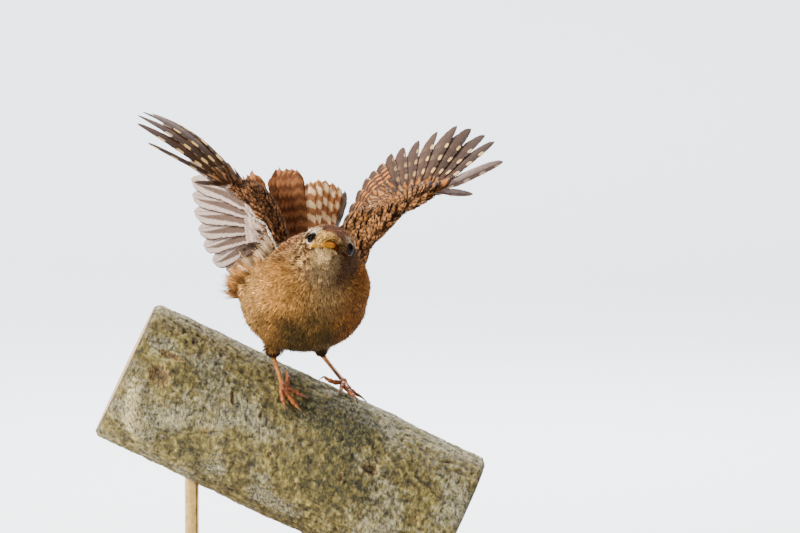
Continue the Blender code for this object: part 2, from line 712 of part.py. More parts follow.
def wing_arm(wing):
    """The arm as a tapering tube with the skin fold before the elbow."""
    path, radii = smooth_path(ARM_JOINTS[wing], ARM_RADII)
    shoulder, elbow, wrist = ARM_JOINTS[wing][1:4]
    rows = [[shoulder.lerp(wrist, t), elbow.lerp(wrist, t * 0.98)] for t in (0, 0.33, 0.66, 1)]
    return melt([tube(path, radii), sheet(rows, PATAGIUM_THICKNESS)], 0.6 * MM, 420, 4)


def wing_vanes(wing):
    """All the wing's flight feathers and rows of coverts."""
    vanes = [wing_vane(wing, place, length, FEATHER_WEBS[place], 0, 0, WING_SLOPE[wing], 1, VANE_OUTLINE)
             for place, length in enumerate(FEATHER_LENGTHS)]
    for places, *shape in COVERT_ROWS:
        gap = places[1] - places[0]
        vanes += [wing_vane(wing, place, *shape, 0, gap, COVERT_OUTLINE) for place in places]
    return vanes


def make_wing(wing, body_clearance):
    """An arm with its flight feathers and coverts."""
    body = fuse([wing_arm(wing)] + wing_vanes(wing), "MANIFOLD")
    cut(body, [body_clearance])
    finish(body, wing, "plumage_flight", ARM_JOINTS[wing][1])


# Tail
def straight_vane(root, along, length, webs, bow, outline):
    """A feather's blade across the tail."""
    edge = along.cross(TAIL_BACK).normalized()
    rows = []
    for t, width in outline:
        middle = root + along * length * t * MM - TAIL_BACK * bow * 4 * t * (1 - t) * MM
        rows.append([middle + edge * webs[0] * width * MM, middle,
                     middle - edge * webs[1] * width * MM])
    return sheet(rows, VANE_THICKNESS)


def tail_vanes():
    """The tail's feathers in two bundles, laid over one another like cards."""
    vanes = []
    for place, angle in enumerate(TAIL_ANGLES):
        root = TAIL_ROOT + at((place - 5.5) * TAIL_ROOT_STEP, TAIL_LAYERS[place] * TAIL_LAYER_STEP, 0)
        along = TAIL_UP * math.cos(angle) + Vector((math.sin(angle), 0, 0))
        vanes.append(straight_vane(root, along, TAIL_LENGTHS[place], TAIL_WEBS, TAIL_BOW,
                                   TAIL_OUTLINE))
    return vanes


def tail_coverts():
    """Short feathers before and behind the roots of the tail."""
    vanes = []
    for x, y, lean, angle, length in TAIL_COVERTS:
        along = (TAIL_UP * math.cos(angle) + Vector((math.sin(angle), lean, 0))).normalized()
        vanes.append(straight_vane(TAIL_ROOT + at(x, y, 4), along, length, TAIL_COVERT_WEBS, 0,
                                   COVERT_OUTLINE))
    return vanes


def make_tail(body_clearance):
    """The tail's stub with its feathers and coverts."""
    stub = ellipsoid(TAIL_ROOT + at(0, TAIL_LAYER_STEP * 3, 5), TAIL_STUB, segments=12)
    tail = fuse([stub] + tail_vanes() + tail_coverts(), "MANIFOLD")
    cut(tail, [body_clearance])
    finish(tail, "tail", "plumage_flight", TAIL_ROOT)


# Legs
def make_toe(side, toe, foot):
    """A toe from the palm along the bark, and its claw down to the bark."""
    knuckle, pad, end, tip = [perch_point(*place) for place in TOES[side][toe]]
    path, radii = smooth_path([foot, knuckle, pad, end], TOE_RADII, 2)
    piece = tube(path, radii)
    ahead = (path[-1] - path[-2]).normalized()
    start = end + ahead * GAP
    crook = start + ahead * (tip - start).length * CLAW_REACH
    claw_path, claw_radii = smooth_path([start, crook, tip], CLAW_RADII, 2)
    claw = tube([start, crook] + claw_path[3:], [CLAW_RADII[0]] + claw_radii[2:])
    finish(claw, f"claw_{side}_{toe}", "claw_horn", start)
    return piece


def make_leg(side, body_clearance):
    """A feathered thigh, a bare tarsus, a foot of four toes and their claws."""
    ankle = ANKLES[side]
    foot = perch_point(*FOOT_PLACES[side])
    hip = HIPS[side]
    drop = (foot - ankle).normalized()
    path = [ankle.lerp(foot, t) for t in (0, 0.12, 0.5, 0.88, 1)]
    tarsus = tube(path, TARSUS_RADII)
    clearance = swollen(tarsus, GAP)
    thigh = tube([hip, hip.lerp(ankle, 0.5), ankle], (THIGH_RADII[0], 3.0, THIGH_RADII[1]))
    cut(thigh, [body_clearance, clearance])
    finish(thigh, f"thigh_{side}", "plumage_brown", hip)
    finish(tarsus, f"tarsus_{side}", "leg_skin", ankle)
    palm = ellipsoid(foot + drop * GAP, Vector((1, 1, 1)) * PALM_RADIUS, segments=12)
    toes = [make_toe(side, toe, foot + drop * PALM_RADIUS / 2) for toe in TOES[side]]
    feet = cut(fuse([palm] + toes), [clearance])
    finish(feet, f"foot_{side}", "leg_skin", foot)


def main():
    make_materials()
    make_base()
    holes = [make_rod(name, x) for name, x in ROD_PLACES.items()]
    make_perch(holes)
    skin = body_skin()
    clearance = swollen(skin, GAP)
    make_body(skin, make_bill())
    make_wing("wing_left", clearance)
    make_wing("wing_right", clearance)
    make_tail(clearance)
    make_leg("left", clearance)
    make_leg("right", clearance)
    for leftover in list(WORK.objects):
        bpy.data.objects.remove(leftover, do_unlink=True)


clear_scene()
PARTS = new_collection("wren")
WORK = new_collection("work")
ROOT = bpy.data.objects.new("wren_root", None)
PARTS.objects.link(ROOT)
main()
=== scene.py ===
"""Looks of a wren with raised wings on a cut length of branch over a display stand.

Lengths are in millimetres in the tables and in metres in the meshes. The bird faces -Y, and its
own left side is towards +X.
"""

import math

import bmesh
import bpy
import numpy as np
from mathutils import Matrix, Vector, noise
from mathutils.bvhtree import BVHTree


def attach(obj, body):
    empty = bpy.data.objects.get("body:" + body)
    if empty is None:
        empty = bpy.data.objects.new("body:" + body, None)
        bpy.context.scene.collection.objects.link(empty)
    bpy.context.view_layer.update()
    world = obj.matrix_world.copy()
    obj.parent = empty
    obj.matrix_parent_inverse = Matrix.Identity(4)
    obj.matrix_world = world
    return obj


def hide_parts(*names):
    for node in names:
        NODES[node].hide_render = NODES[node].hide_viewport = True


MM = 0.001
SEED = 11

# Camera and light
AIM = (31.25, 0.0, 126.0)
CAMERA_DISTANCE = 2400.0
CAMERA_ELEVATION = math.radians(6)
CAMERA_LENS = 345.6
SENSOR_WIDTH = 36.0
CLIP_END = 50.0
# name, place, size, power, colour, where it points
LIGHTS = (
    ("key", (-900, -360, 660), 220, 44.0, (1.0, 0.96, 0.90), AIM),
    ("fill", (500, -760, 300), 520, 1.6, (0.96, 0.97, 1.0), AIM),
    ("rim", (160, 620, 620), 420, 12.0, (0.97, 0.98, 1.0), AIM),
    ("backdrop", (-300, 1900, 2300), 2400, 250.0, (0.95, 0.97, 1.0), (-300, 2100, 0)),
)
FLOOR_HALF_WIDTH = 6.0
# The floor seen from the side: (y, z) in metres
FLOOR_CURVE = ((-4, 0), (-2, 0), (1, 0), (2.6, 0), (4, 0.35), (4.8, 1.6), (5, 4))
SKY = (0.90, 0.91, 0.94)
SKY_STRENGTH = 0.42
FLOOR_COLOUR = (0.84, 0.86, 0.90)

# Perch
PERCH_RADIUS = 22.9
PERCH_CENTRE = np.array((-0.08, 0.0, 67.74))
PERCH_SLOPE = math.radians(25.6)
PERCH_ENDS = (-60.6, 53.9)
BARK_SWELL = 0.35
# Rounded rises: along, turn, reach and height, and the larger one's two reaches and height
KNOT = (32.0, math.radians(112), 7.0, 1.1)
KNOB = (-52.0, math.radians(112), 9.0, 3.2, 2.4)
BARK_SIDES = 300
BARK_RINGS = 250
END_BEVEL = 1.2

# Head
HEAD_PLACE = np.array((9.9, -30.0, 136.3))
HEAD_FORWARD = np.array((0.10, -0.963, 0.25))
HEAD_FORWARD /= np.linalg.norm(HEAD_FORWARD)
HEAD_LEFT = np.array((0.9565, 0.024, -0.2914))
HEAD_LEFT /= np.linalg.norm(HEAD_LEFT)
HEAD_UP = np.cross(HEAD_FORWARD, HEAD_LEFT)
HEAD_UP /= np.linalg.norm(HEAD_UP)
EYE_SIDE = 6.3
EYE_FORWARD = 0.3
EYE_TURN = np.array((0.80, 0.57, 0.14))
EYE_SINK = 1.35
EYE_RADIUS = 2.2
LID_RADIUS = 2.1
LID_THICKNESS = 0.17
BILL_BASE = 3.0
BILL_TIP = 15.8
BILL_STATIONS = (0.0, 0.2, 0.42, 0.64, 0.84, 1.0)
BILL_HALF_WIDTHS = (3.0, 2.55, 1.75, 1.1, 0.55, 0.1)
BILL_UPPER_DEPTHS = (1.5, 1.45, 1.15, 0.85, 0.55, 0.14)
BILL_LOWER_DEPTHS = (0.6, 0.6, 0.5, 0.38, 0.26, 0.1)
BILL_DROOP = (-1.7, -1.85, -2.1, -2.45, -2.85, -3.3)
BILL_TURN = 0.8
BILL_SIDES = 40
BILL_RINGS = 60

# Wings: joints of each arm from the shoulder's root to the fingertip, and the feathers
ARM_JOINTS = {
    "wing_left": ((14.5, -7, 124.5), (18.2, -7, 130.6), (21.0, -3, 142.1),
                  (31.6, -9, 145.2), (41.6, -7.9, 149.6)),
    "wing_right": ((-1.5, -8, 124.5), (-5.5, -9, 130.9), (-11.8, 0, 133.4),
                   (-11.9, -9, 144.4), (-21.3, -10.1, 152.2)),
}
ARM_RADII = {"wing_left": (4.0, 2.8, 1.7, 1.4, 0.9), "wing_right": (4.0, 3.0, 2.0, 1.5, 0.9)}
# Leading folds that widen each arm: places and radius
ARM_FOLDS = {
    "wing_left": (
        (((13.5, -6.5, 128.0), (15.0, -4.5, 134.0), (17.6, -3.0, 139.5), (21.5, -4.0, 143.0)), 2.5),),
    "wing_right": (
        (((-3.9, -7, 130.5), (-6.9, -5.5, 139.5), (-10.9, -6, 147.5), (-16.5, -8.8, 152.2)), 2.0),
        (((-7.5, -8.0, 126.0), (-4.5, -10.5, 129.5), (-0.5, -13.5, 132.5), (3.5, -18, 134.5)), 3.8)),
}
FEATHER_DIRECTIONS = {
    "wing_left": {
        0: (0.759, 0.647, -0.067), 1: (0.71, 0.648, 0.275), 2: (0.57, 0.725, 0.386),
        3: (0.469, 0.773, 0.428), 5: (0.304, 0.808, 0.505), 7: (0.085, 0.885, 0.455),
        9: (-0.096, 0.916, 0.391), 10: (-0.17, 0.938, 0.305), 12: (-0.244, 0.952, 0.184),
        15: (-0.362, 0.915, -0.176), 18: (-0.47, 0.78, -0.42)},
    "wing_right": {
        0: (-0.719, -0.68, 0.141), 1: (-0.836, -0.29, 0.466), 2: (-0.822, -0.10, 0.561),
        3: (-0.793, 0.03, 0.608), 5: (-0.721, 0.27, 0.638), 7: (-0.71, 0.48, 0.51),
        9: (-0.66, 0.67, 0.32), 12: (-0.66, 0.75, 0.0), 15: (-0.57, 0.72, -0.40),
        18: (-0.32, 0.62, -0.72)},
}
REAR_STRETCH = {"wing_left": 1.0, "wing_right": 1.08}
FEATHER_LENGTHS = (16, 32, 38, 40.5, 41.5, 41.5, 39.5, 37, 35.5, 34.5,
                   33, 32.5, 32, 31, 30, 28, 24, 19, 15)
WING_BOW = {
    "wing_left": {0: 0.6, 5: 1.2, 9: 1.6, 18: 1.2},
    "wing_right": {0: 0.0, 1: 0.2, 3: 2.4, 5: 4.4, 9: 4.2, 12: 3.0, 18: 1.6},
}
WING_DEPTH = 40
HAND_FEATHERS = 9.4
ARM_FEATHERS = 8.6
# Half widths of the outer and the inner web
FEATHER_WEBS = ((1.0, 1.5), (1.1, 2.6)) + ((1.5, 3.6),) * 8 + ((2.1, 4.2),) * 6 + ((2.6, 3.6),) * 3
OUTERMOST_MARKS = (0.3, 0.9)
PRIMARY_MARKS = (0.95, 0.95, 0.95, 0.9, 0.7, 0.45, 0.3, 0.2)
SECONDARY_MARKS = 0.6
# A vane's outline: share of the width at its root, where it is widest, where its tip starts
PRIMARY_SHAPE = (0.1, 0.42, 0.55)
SECONDARY_SHAPE = (0.14, 0.4, 0.8)
GREATER_SHAPE = (0.3, 0.35, 0.6)
LESSER_SHAPE = (0.4, 0.35, 0.5)
FLIGHT_THICKNESS = 0.13
COVERT_THICKNESS = 0.12
FLIGHT_CELLS = (10, 44)
COVERT_CELLS = (6, 12)
# Rows of small feathers: length, height at the root and at the tip, half width, spacing
COVERT_TIERS = ((13.5, 0.9, 1.4, 1.5, 0.8), (10.5, 1.1, 1.7, 1.4, 0.72), (8.0, 1.3, 1.9, 1.25, 0.65),
                (6.0, 1.5, 2.1, 1.1, 0.58), (4.2, 1.6, 2.2, 0.95, 0.5), (2.6, 1.4, 2.0, 0.8, 0.5))
UNDER_TIERS = ((10.0, -0.5, -1.1, 1.8, 0.9), (7.5, -0.8, -1.5, 1.6, 0.8), (5.5, -1.0, -1.8, 1.4, 0.7),
               (3.6, -1.1, -1.8, 1.1, 0.55))
# Cream spots: first row, distance of the rows, last row, half length, place across, half width
SPOT_ROWS = (8.3, 6.9, 29.5, 1.35, 0.8, 0.17)
# Barbs: rows along a feather, how far a row slants, and their relief
BARB_ROWS = 90.0
BARB_SLANT = 22.0
BARB_RELIEF = 0.35
BARB_HEIGHT = 0.00012
FULL_TURN = 6.2832
WING_SLOPE = 0.12
RAGGED = 0.05

# Tail
TAIL_ROOT = np.array((1.9, 13.0, 123.5))
TAIL_UP = np.array((0.0, 0.13, 0.9915))
TAIL_BACK = np.array((0.0, 0.9915, -0.13))
TAIL_ANGLES = (-25, -22, -14, -12.2, -10.4, -8.6, -6.8, -5, 1.5, 4.8, 8.1, 11.4, 14.7, 18)
TAIL_LENGTHS = (32, 32.5, 30, 31.5, 31.8, 32, 32, 31.5, 28, 28, 28, 27.5, 26.5, 25)
TAIL_LAYERS = (7, 6, 5, 4, 3, 2, 1, 0, 1, 2, 3, 4, 5, 6)
TAIL_MIDDLE = 7.5
TAIL_SPACING = 0.7
TAIL_SHAPE = (0.3, 0.5, 0.86)
TAIL_HALF_WIDTH = 2.2
TAIL_THICKNESS = 0.14
TAIL_CELLS = (8, 40)
# Pieces of the tail: name, first and last feather, finish
TAIL_PIECES = (("tail_rufous", 0, 8, "tail"), ("tail_pale", 8, 13, "tail_pale"),
               ("tail_grey", 13, 14, "tail_grey"))

# Legs, with each foot's places on the perch as (along, degrees round, height)
ANKLES = {"left": (6.7, 12.3, 96.8), "right": (-8.3, -4.0, 98.2)}
FOOT_PLACES = {"left": (2.6, -1.0, 2.9), "right": (-14.4, 43.4, 2.3)}
TARSUS_RADII = (1.05, 0.75, 0.65, 0.7, 0.95)
TOE_RADII = (0.95, 0.78, 0.72, 0.5)
CLAW_RADII = (0.46, 0.36, 0.08)
CLAW_REACH = 0.35
TOES = {
    "left": {
        "hallux": ((0.6, 2, 1.7), (-1.2, 4, 1.6), (-2.8, 3, 1.7), (-4.6, 6.5, 0.4)),
        "inner": ((2.9, 5, 2.0), (2.9, 9, 1.5), (2.9, 13, 1.15), (2.8, 20.5, 0.4)),
        "middle": ((5.0, 1, 1.7), (6.6, 3, 1.25), (8.9, 5.5, 1.1), (12.4, 8.7, 0.4)),
        "outer": ((4.4, 7, 1.7), (5.9, 10, 1.25), (7.4, 13.2, 1.1), (9.4, 20, 0.4)),
    },
    "right": {
        "hallux": ((-13.6, 38, 1.6), (-13.9, 31, 1.2), (-14.6, 24, 1.05), (-15.8, 13.5, 0.4)),
        "inner": ((-12.0, 41.5, 1.5), (-9.4, 41.5, 1.2), (-7.6, 41, 1.05), (-4.1, 40, 0.4)),
        "middle": ((-12.3, 46.5, 1.5), (-9.3, 50.6, 1.2), (-7.5, 52.3, 1.05), (-4.0, 54.2, 0.4)),
        "outer": ((-13.9, 48, 1.5), (-12.4, 52.7, 1.2), (-11.5, 55.5, 1.05), (-9.7, 62, 0.4)),
    },
}


# Helpers for numbers
def unit(vectors):
    """Vectors scaled to length one, along the last axis."""
    vectors = np.asarray(vectors, float)
    return vectors / np.maximum(np.linalg.norm(vectors, axis=-1, keepdims=True), 1e-12)


def smooth(low, high, values):
    """A soft step from 0 at low to 1 at high."""
    t = np.clip((np.asarray(values, float) - low) / (high - low), 0, 1)
    return t * t * (3 - 2 * t)


def blend(first, second, share):
    """Colours between first and second by share, which may be an array."""
    share = np.asarray(share, float)[..., None]
    return np.asarray(first, float) * (1 - share) + np.asarray(second, float) * share


def layered(colour, *layers):
    """A colour with others laid over it in turn, each as (colour, share)."""
    for over, share in layers:
        colour = blend(colour, over, share)
    return colour


def linear(red, green, blue):
    """A colour given as it shows on a screen, 0 to 255, in the light's own values."""
    shown = np.array((red, green, blue)) / 255
    return np.where(shown <= 0.04045, shown / 12.92, ((shown + 0.055) / 1.055) ** 2.4)


def lumps(points, size, seed=0):
    """Soft noise from about -1 to 1 at the points, in lumps of the given size."""
    shift = Vector((seed * 7.31, seed * 3.17, seed * 5.77))
    return np.array([noise.noise(Vector(point) / size + shift) for point in points]) * 1.6


def curve_points(points, count):
    """Evenly stepped points of a smooth curve through the given ones."""
    points = np.asarray(points, float)
    padded = np.vstack([2 * points[0] - points[1], points, 2 * points[-1] - points[-2]])
    places = np.linspace(0, len(points) - 1, count)
    index = np.minimum(places.astype(int), len(points) - 2)
    t = (places - index)[:, None]
    p0, p1, p2, p3 = (padded[index + k] for k in range(4))
    return 0.5 * (2 * p1 + (p2 - p0) * t + (2 * p0 - 5 * p1 + 4 * p2 - p3) * t ** 2
                  + (3 * p1 - p0 - 3 * p2 + p3) * t ** 3)


# Helpers for materials
class Value:
    """What a node of a material gives out; plain sums on it add further nodes."""

    def __init__(self, tree, socket):
        self.tree = tree
        self.socket = socket

    def calc(self, operation, *others):
        """A sum of this value and others."""
        node = add(self.tree, "ShaderNodeMath", enumerate((self, *others)), operation=operation)
        return Value(self.tree, node.outputs[0])

    def __add__(self, other):
        return self.calc("ADD", other)

    def __sub__(self, other):
        return self.calc("SUBTRACT", other)

    def __mul__(self, other):
        return self.calc("MULTIPLY", other)

    def __pow__(self, other):
        return self.calc("POWER", other)

    def __abs__(self):
        return self.calc("ABSOLUTE")

    def step(self, low, high):
        """A soft step from 0 at low to 1 at high."""
        node = add(self.tree, "ShaderNodeMapRange", {"Value": self, "From Min": low, "From Max": high},
                   interpolation_type="SMOOTHSTEP")
        return Value(self.tree, node.outputs[0])

    def ramp(self, *stops):
        """Colours or greys by this value; stops are (place, colour)."""
        node = add(self.tree, "ShaderNodeValToRGB", {"Fac": self})
        elements = node.color_ramp.elements
        while len(elements) < len(stops):
            elements.new(0.5)
        for element, (place, colour) in zip(elements, stops):
            element.position = place
            element.color = (*colour, 1) if hasattr(colour, "__len__") else (colour,) * 3 + (1,)
        return Value(self.tree, node.outputs["Color"])

    def mix(self, share, other):
        """This colour with a share of the other."""
        return mix(self.tree, share, self, other)

    def times(self, other, share=1.0):
        """This colour multiplied by a share of the other."""
        return mix(self.tree, share, self, other, "MULTIPLY")


def new_material(name, roughness=0.6, **sockets):
    """A material with its Principled shader, and its tree."""
    material = bpy.data.materials.new(name)
    material.use_nodes = True
    tree = material.node_tree
    shader = tree.nodes["Principled BSDF"]
    shader.inputs["Roughness"].default_value = roughness
    for key, value in sockets.items():
        shader.inputs[key.replace("_", " ")].default_value = value
    return material, tree, shader


def add(tree, kind, inputs=(), **settings):
    """A node with its settings; inputs maps socket names or numbers to values."""
    node = tree.nodes.new(kind)
    for key, value in settings.items():
        setattr(node, key, value)
    for key, value in dict(inputs).items():
        if isinstance(value, Value):
            tree.links.new(value.socket, node.inputs[key])
        else:
            node.inputs[key].default_value = value
    return node


def mix(tree, share, first, second, blend_type="MIX"):
    """Two colours mixed; each is a Value or three numbers."""
    colours = [colour if isinstance(colour, Value) else (*colour, 1) for colour in (first, second)]
    node = add(tree, "ShaderNodeMix", data_type="RGBA", blend_type=blend_type)
    for socket, value in zip((node.inputs["Factor"], node.inputs[6], node.inputs[7]), (share, *colours)):
        if isinstance(value, Value):
            tree.links.new(value.socket, socket)
        else:
            socket.default_value = value
    return Value(tree, node.outputs[2])


def object_place(tree):
    """The object's own coordinates."""
    return Value(tree, add(tree, "ShaderNodeTexCoord").outputs["Object"])


def object_noise(tree, scale, detail=3.0, stretch=(1, 1, 1), roughness=0.55):
    """Noise over the object's own coordinates, which are in metres."""
    mapping = add(tree, "ShaderNodeMapping", {"Vector": object_place(tree), "Scale": stretch})
    node = add(tree, "ShaderNodeTexNoise", {
        "Vector": Value(tree, mapping.outputs[0]), "Scale": scale, "Detail": detail,
        "Roughness": roughness})
    return Value(tree, node.outputs["Fac"])


def attribute(tree, name, output="Color"):
    """A colour or a grey that the mesh keeps for each corner."""
    return Value(tree, add(tree, "ShaderNodeAttribute", attribute_name=name).outputs[output])


def parts_of(tree, kind, socket, value):
    """The three parts of a vector or a colour."""
    return [Value(tree, output) for output in add(tree, kind, {socket: value}).outputs]


def dress(shader, tree, colour, height=None, strength=1.0, distance=0.0001):
    """Give a shader its colour and, where there is one, its relief."""
    tree.links.new(colour.socket, shader.inputs["Base Color"])
    if height:
        node = add(tree, "ShaderNodeBump", {"Height": height, "Strength": strength, "Distance": distance})
        tree.links.new(node.outputs[0], shader.inputs["Normal"])


def painted_material(name, roughness, grain, stops, relief=None, **sockets):
    """A finish in the colours painted on its mesh, varied by a fine grain."""
    material, tree, shader = new_material(name, roughness, **sockets)
    fine = object_noise(tree, *grain)
    colour = attribute(tree, "mark").times(fine.ramp(*stops))
    if relief:
        dress(shader, tree, colour, fine, *relief)
    else:
        dress(shader, tree, colour)
    return material


# Helpers for pieces
def link(obj):
    """Put an object in the scene and give it back."""
    bpy.context.scene.collection.objects.link(obj)
    return obj


def show(obj, material, slot, *replaced):
    """Give a piece its finish and let it stand for CAD nodes."""
    obj.data.materials.clear()
    obj.data.materials.append(material)
    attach(obj, "root")
    if replaced:
        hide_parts(*replaced)
    return obj


def object_from(name, bm):
    """A new object that takes the shape built in bm."""
    mesh = bpy.data.meshes.new(name)
    bm.to_mesh(mesh)
    bm.free()
    mesh.shade_smooth()
    return link(bpy.data.objects.new(name, mesh))


def unit_tube(sides, rings, capped=True):
    """A tube of radius one from z -0.5 to 0.5, with even rings of faces."""
    bm = bmesh.new()
    bmesh.ops.create_cone(bm, cap_ends=capped, segments=sides, radius1=1, radius2=1, depth=1)
    uprights = [edge for edge in bm.edges if abs(edge.verts[0].co.z - edge.verts[1].co.z) > 0.5]
    bmesh.ops.subdivide_edges(bm, edges=uprights, cuts=rings - 1)
    return bm


def object_from_arrays(name, points, faces, uvs, colours):
    """A joined mesh from arrays, with UV places by corner or by point.

    Faces are quads, or triangles with a last index of -1.
    """
    faces = np.asarray(faces)
    sizes = np.where(faces[:, -1] < 0, faces.shape[1] - 1, faces.shape[1])
    corners = faces[faces >= 0].astype(np.int32)
    mesh = bpy.data.meshes.new(name)
    mesh.vertices.add(len(points))
    mesh.vertices.foreach_set("co", (np.asarray(points) * MM).astype(np.float32).ravel())
    mesh.loops.add(len(corners))
    mesh.loops.foreach_set("vertex_index", corners)
    mesh.polygons.add(len(faces))
    starts = np.concatenate([[0], np.cumsum(sizes)[:-1]]).astype(np.int32)
    mesh.polygons.foreach_set("loop_start", starts)
    for layer, places in uvs.items():
        uv = mesh.uv_layers.new(name=layer)
        places = np.asarray(places, np.float32)
        by_corner = len(places) == len(corners)
        uv.data.foreach_set("uv", (places if by_corner else places[corners]).ravel())
    for layer, values in colours.items():
        paint(mesh, layer, values)
    mesh.update(calc_edges=True)
    mesh.shade_smooth()
    return link(bpy.data.objects.new(name, mesh))


def vertex_array(mesh):
    """A mesh's corners in its own units."""
    values = np.empty(len(mesh.vertices) * 3, np.float32)
    mesh.vertices.foreach_get("co", values)
    return values.reshape(-1, 3).astype(float)


def set_vertices(mesh, points):
    """Move a mesh's corners to places in millimetres."""
    mesh.vertices.foreach_set("co", (np.asarray(points) * MM).astype(np.float32).ravel())
    mesh.update()


def paint(mesh, name, values):
    """Keep a colour or a grey for each corner of a mesh."""
    values = np.asarray(values, np.float32)
    full = np.ones((len(mesh.vertices), 4), np.float32)
    full[:, :3] = values if values.ndim == 2 else values[:, None]
    layer = mesh.color_attributes.new(name=name, type="FLOAT_COLOR", domain="POINT")
    layer.data.foreach_set("color", full.ravel())


# Perch
def perch_axes():
    """The perch's way downhill along its middle, and its way up from there."""
    along = np.array((math.cos(PERCH_SLOPE), 0, -math.sin(PERCH_SLOPE)))
    upwards = np.array((math.sin(PERCH_SLOPE), 0, math.cos(PERCH_SLOPE)))
    return along, upwards


def bark_radius(along, angle):
    """The perch's radius with its gentle swell and its knot."""
    place, turn, spread, height = KNOT
    swell = np.sin(along / 9 + 2 * angle) * np.sin(3 * angle + 0.7)
    reach = (along - place) ** 2 + (PERCH_RADIUS * (angle - turn)) ** 2
    return PERCH_RADIUS + BARK_SWELL * swell + height * np.exp(-reach / spread ** 2)


def perch_point(along, degrees, height):
    """A point over the bark; degrees turn from the top towards -Y."""
    axis, upwards = perch_axes()
    angle = math.radians(degrees)
    outwards = upwards * math.cos(angle) + np.array((0, -math.sin(angle), 0))
    return PERCH_CENTRE + axis * along + outwards * (bark_radius(along, angle) + height)


# Stage
def make_floor():
    """A pale floor, flat under the model, that curves up far behind it."""
    bm = bmesh.new()
    near = [bm.verts.new((-FLOOR_HALF_WIDTH, y, z)) for y, z in FLOOR_CURVE]
    edges = [bm.edges.new(pair) for pair in zip(near, near[1:])]
    made = bmesh.ops.extrude_edge_only(bm, edges=edges)
    far = [item for item in made["geom"] if isinstance(item, bmesh.types.BMVert)]
    bmesh.ops.translate(bm, verts=far, vec=(2 * FLOOR_HALF_WIDTH, 0, 0))
    bmesh.ops.recalc_face_normals(bm, faces=bm.faces)
    floor = object_from("floor", bm)
    curve = floor.modifiers.new("curve", "SUBSURF")
    curve.levels = 3
    curve.render_levels = 3
    material, _, shader = new_material("floor_paper", 0.9)
    shader.inputs["Base Color"].default_value = (*FLOOR_COLOUR, 1)
    floor.data.materials.append(material)


def make_lights():
    """Soft area lights and an even sky."""
    for name, place, size, power, colour, target in LIGHTS:
        lamp = bpy.data.lights.new(name, "AREA")
        lamp.size = size * MM
        lamp.energy = power
        lamp.color = colour
        obj = link(bpy.data.objects.new(name, lamp))
        obj.location = Vector(place) * MM
        aim = Vector(target) * MM - obj.location
        obj.rotation_euler = aim.to_track_quat("-Z", "Y").to_euler()
    world = bpy.data.worlds.new("sky")
    world.use_nodes = True
    sky = world.node_tree.nodes["Background"]
    sky.inputs["Color"].default_value = (*SKY, 1)
    sky.inputs["Strength"].default_value = SKY_STRENGTH
    bpy.context.scene.world = world


def make_camera():
    """The camera at the photo's distance, height and framing."""
    camera = bpy.data.cameras.new("camera")
    camera.lens = CAMERA_LENS
    camera.sensor_width = SENSOR_WIDTH
    camera.clip_end = CLIP_END
    obj = link(bpy.data.objects.new("camera", camera))
    back = Vector((0, -math.cos(CAMERA_ELEVATION), math.sin(CAMERA_ELEVATION)))
    obj.location = (Vector(AIM) + back * CAMERA_DISTANCE) * MM
    obj.rotation_euler = (-back).to_track_quat("-Z", "Y").to_euler()
    bpy.context.scene.camera = obj


# Stand
def stand_wood():
    """Dark varnished wood with its grain along X."""
    material, tree, shader = new_material("stand_wood", 0.35, Coat_Weight=0.35, Coat_Roughness=0.2)
    grain = object_noise(tree, 90.0, 6.0, (0.12, 1.6, 1.6))
    fine = object_noise(tree, 900.0, 2.0, (0.05, 1.0, 1.0))
    tone = grain * 0.75 + fine * 0.25
    colour = tone.ramp((0.35, linear(58, 34, 22)), (0.5, linear(92, 56, 34)), (0.65, linear(122, 80, 50)))
    dress(shader, tree, colour, tone, 0.15, 0.0002)
    return material


def stand_brass():
    """Satin brass, a little worn."""
    material, tree, shader = new_material("stand_brass", 0.3, Metallic=1.0)
    wear = object_noise(tree, 500.0, 4.0)
    dress(shader, tree, wear.ramp((0.35, linear(150, 120, 66)), (0.7, linear(196, 164, 100))))
    tree.links.new((wear * 0.25 + 0.18).socket, shader.inputs["Roughness"])
    return material


def dress_stand(nodes):
    """Wood and brass on the CAD's own base and rods."""
    wood, brass = stand_wood(), stand_brass()
    for name, material, slot in (("stand_base", wood, "stand_wood"),
                                 ("stand_rod_left", brass, "stand_metal"),
                                 ("stand_rod_right", brass, "stand_metal")):
        nodes[name].data.materials.clear()
        nodes[name].data.materials.append(material)


# Bark
def bark_material():
    """Grey-green bark with lichen, moss and bare scars by the masks in the mesh, painted shade in its
    hollows, and a painted highlight along the top within the lichen mask.
    """
    material, tree, shader = new_material("bark", 0.85)
    fine = object_noise(tree, 1150.0, 7.0, (1.35, 0.85, 0.75), 0.75)
    middle = object_noise(tree, 620.0, 5.0, (0.9, 1.0, 0.6), 0.65)
    moss, lichen, bare = parts_of(tree, "ShaderNodeSeparateColor", "Color", attribute(tree, "masks"))
    colour = middle.ramp((0.34, linear(56, 46, 14)), (0.46, linear(110, 94, 35)),
                         (0.56, linear(146, 128, 58)), (0.66, linear(186, 170, 100)))
    colour = colour.mix(moss, fine.ramp((0.38, linear(14, 12, 0)), (0.5, linear(62, 56, 4)),
                                        (0.62, linear(126, 112, 34))))
    colour = colour.mix(lichen, fine.ramp((0.38, linear(92, 84, 54)), (0.5, linear(172, 165, 128)),
                                          (0.62, linear(230, 224, 200))))
    colour = colour.mix(bare, fine.ramp((0.36, linear(54, 36, 14)), (0.5, linear(134, 104, 48)),
                                        (0.64, linear(190, 164, 104))))
    colour = colour.times(fine.ramp((0.38, 0.08), (0.49, 1.0)), 0.75)
    # Painted shade in the bark's hollows and cracks, and a little painted light on its raised bark.
    colour = colour.times(attribute(tree, "painted_relief_shading"))
    dress(shader, tree, colour, fine + middle * 1.5, 0.9, 0.0006)
    return material


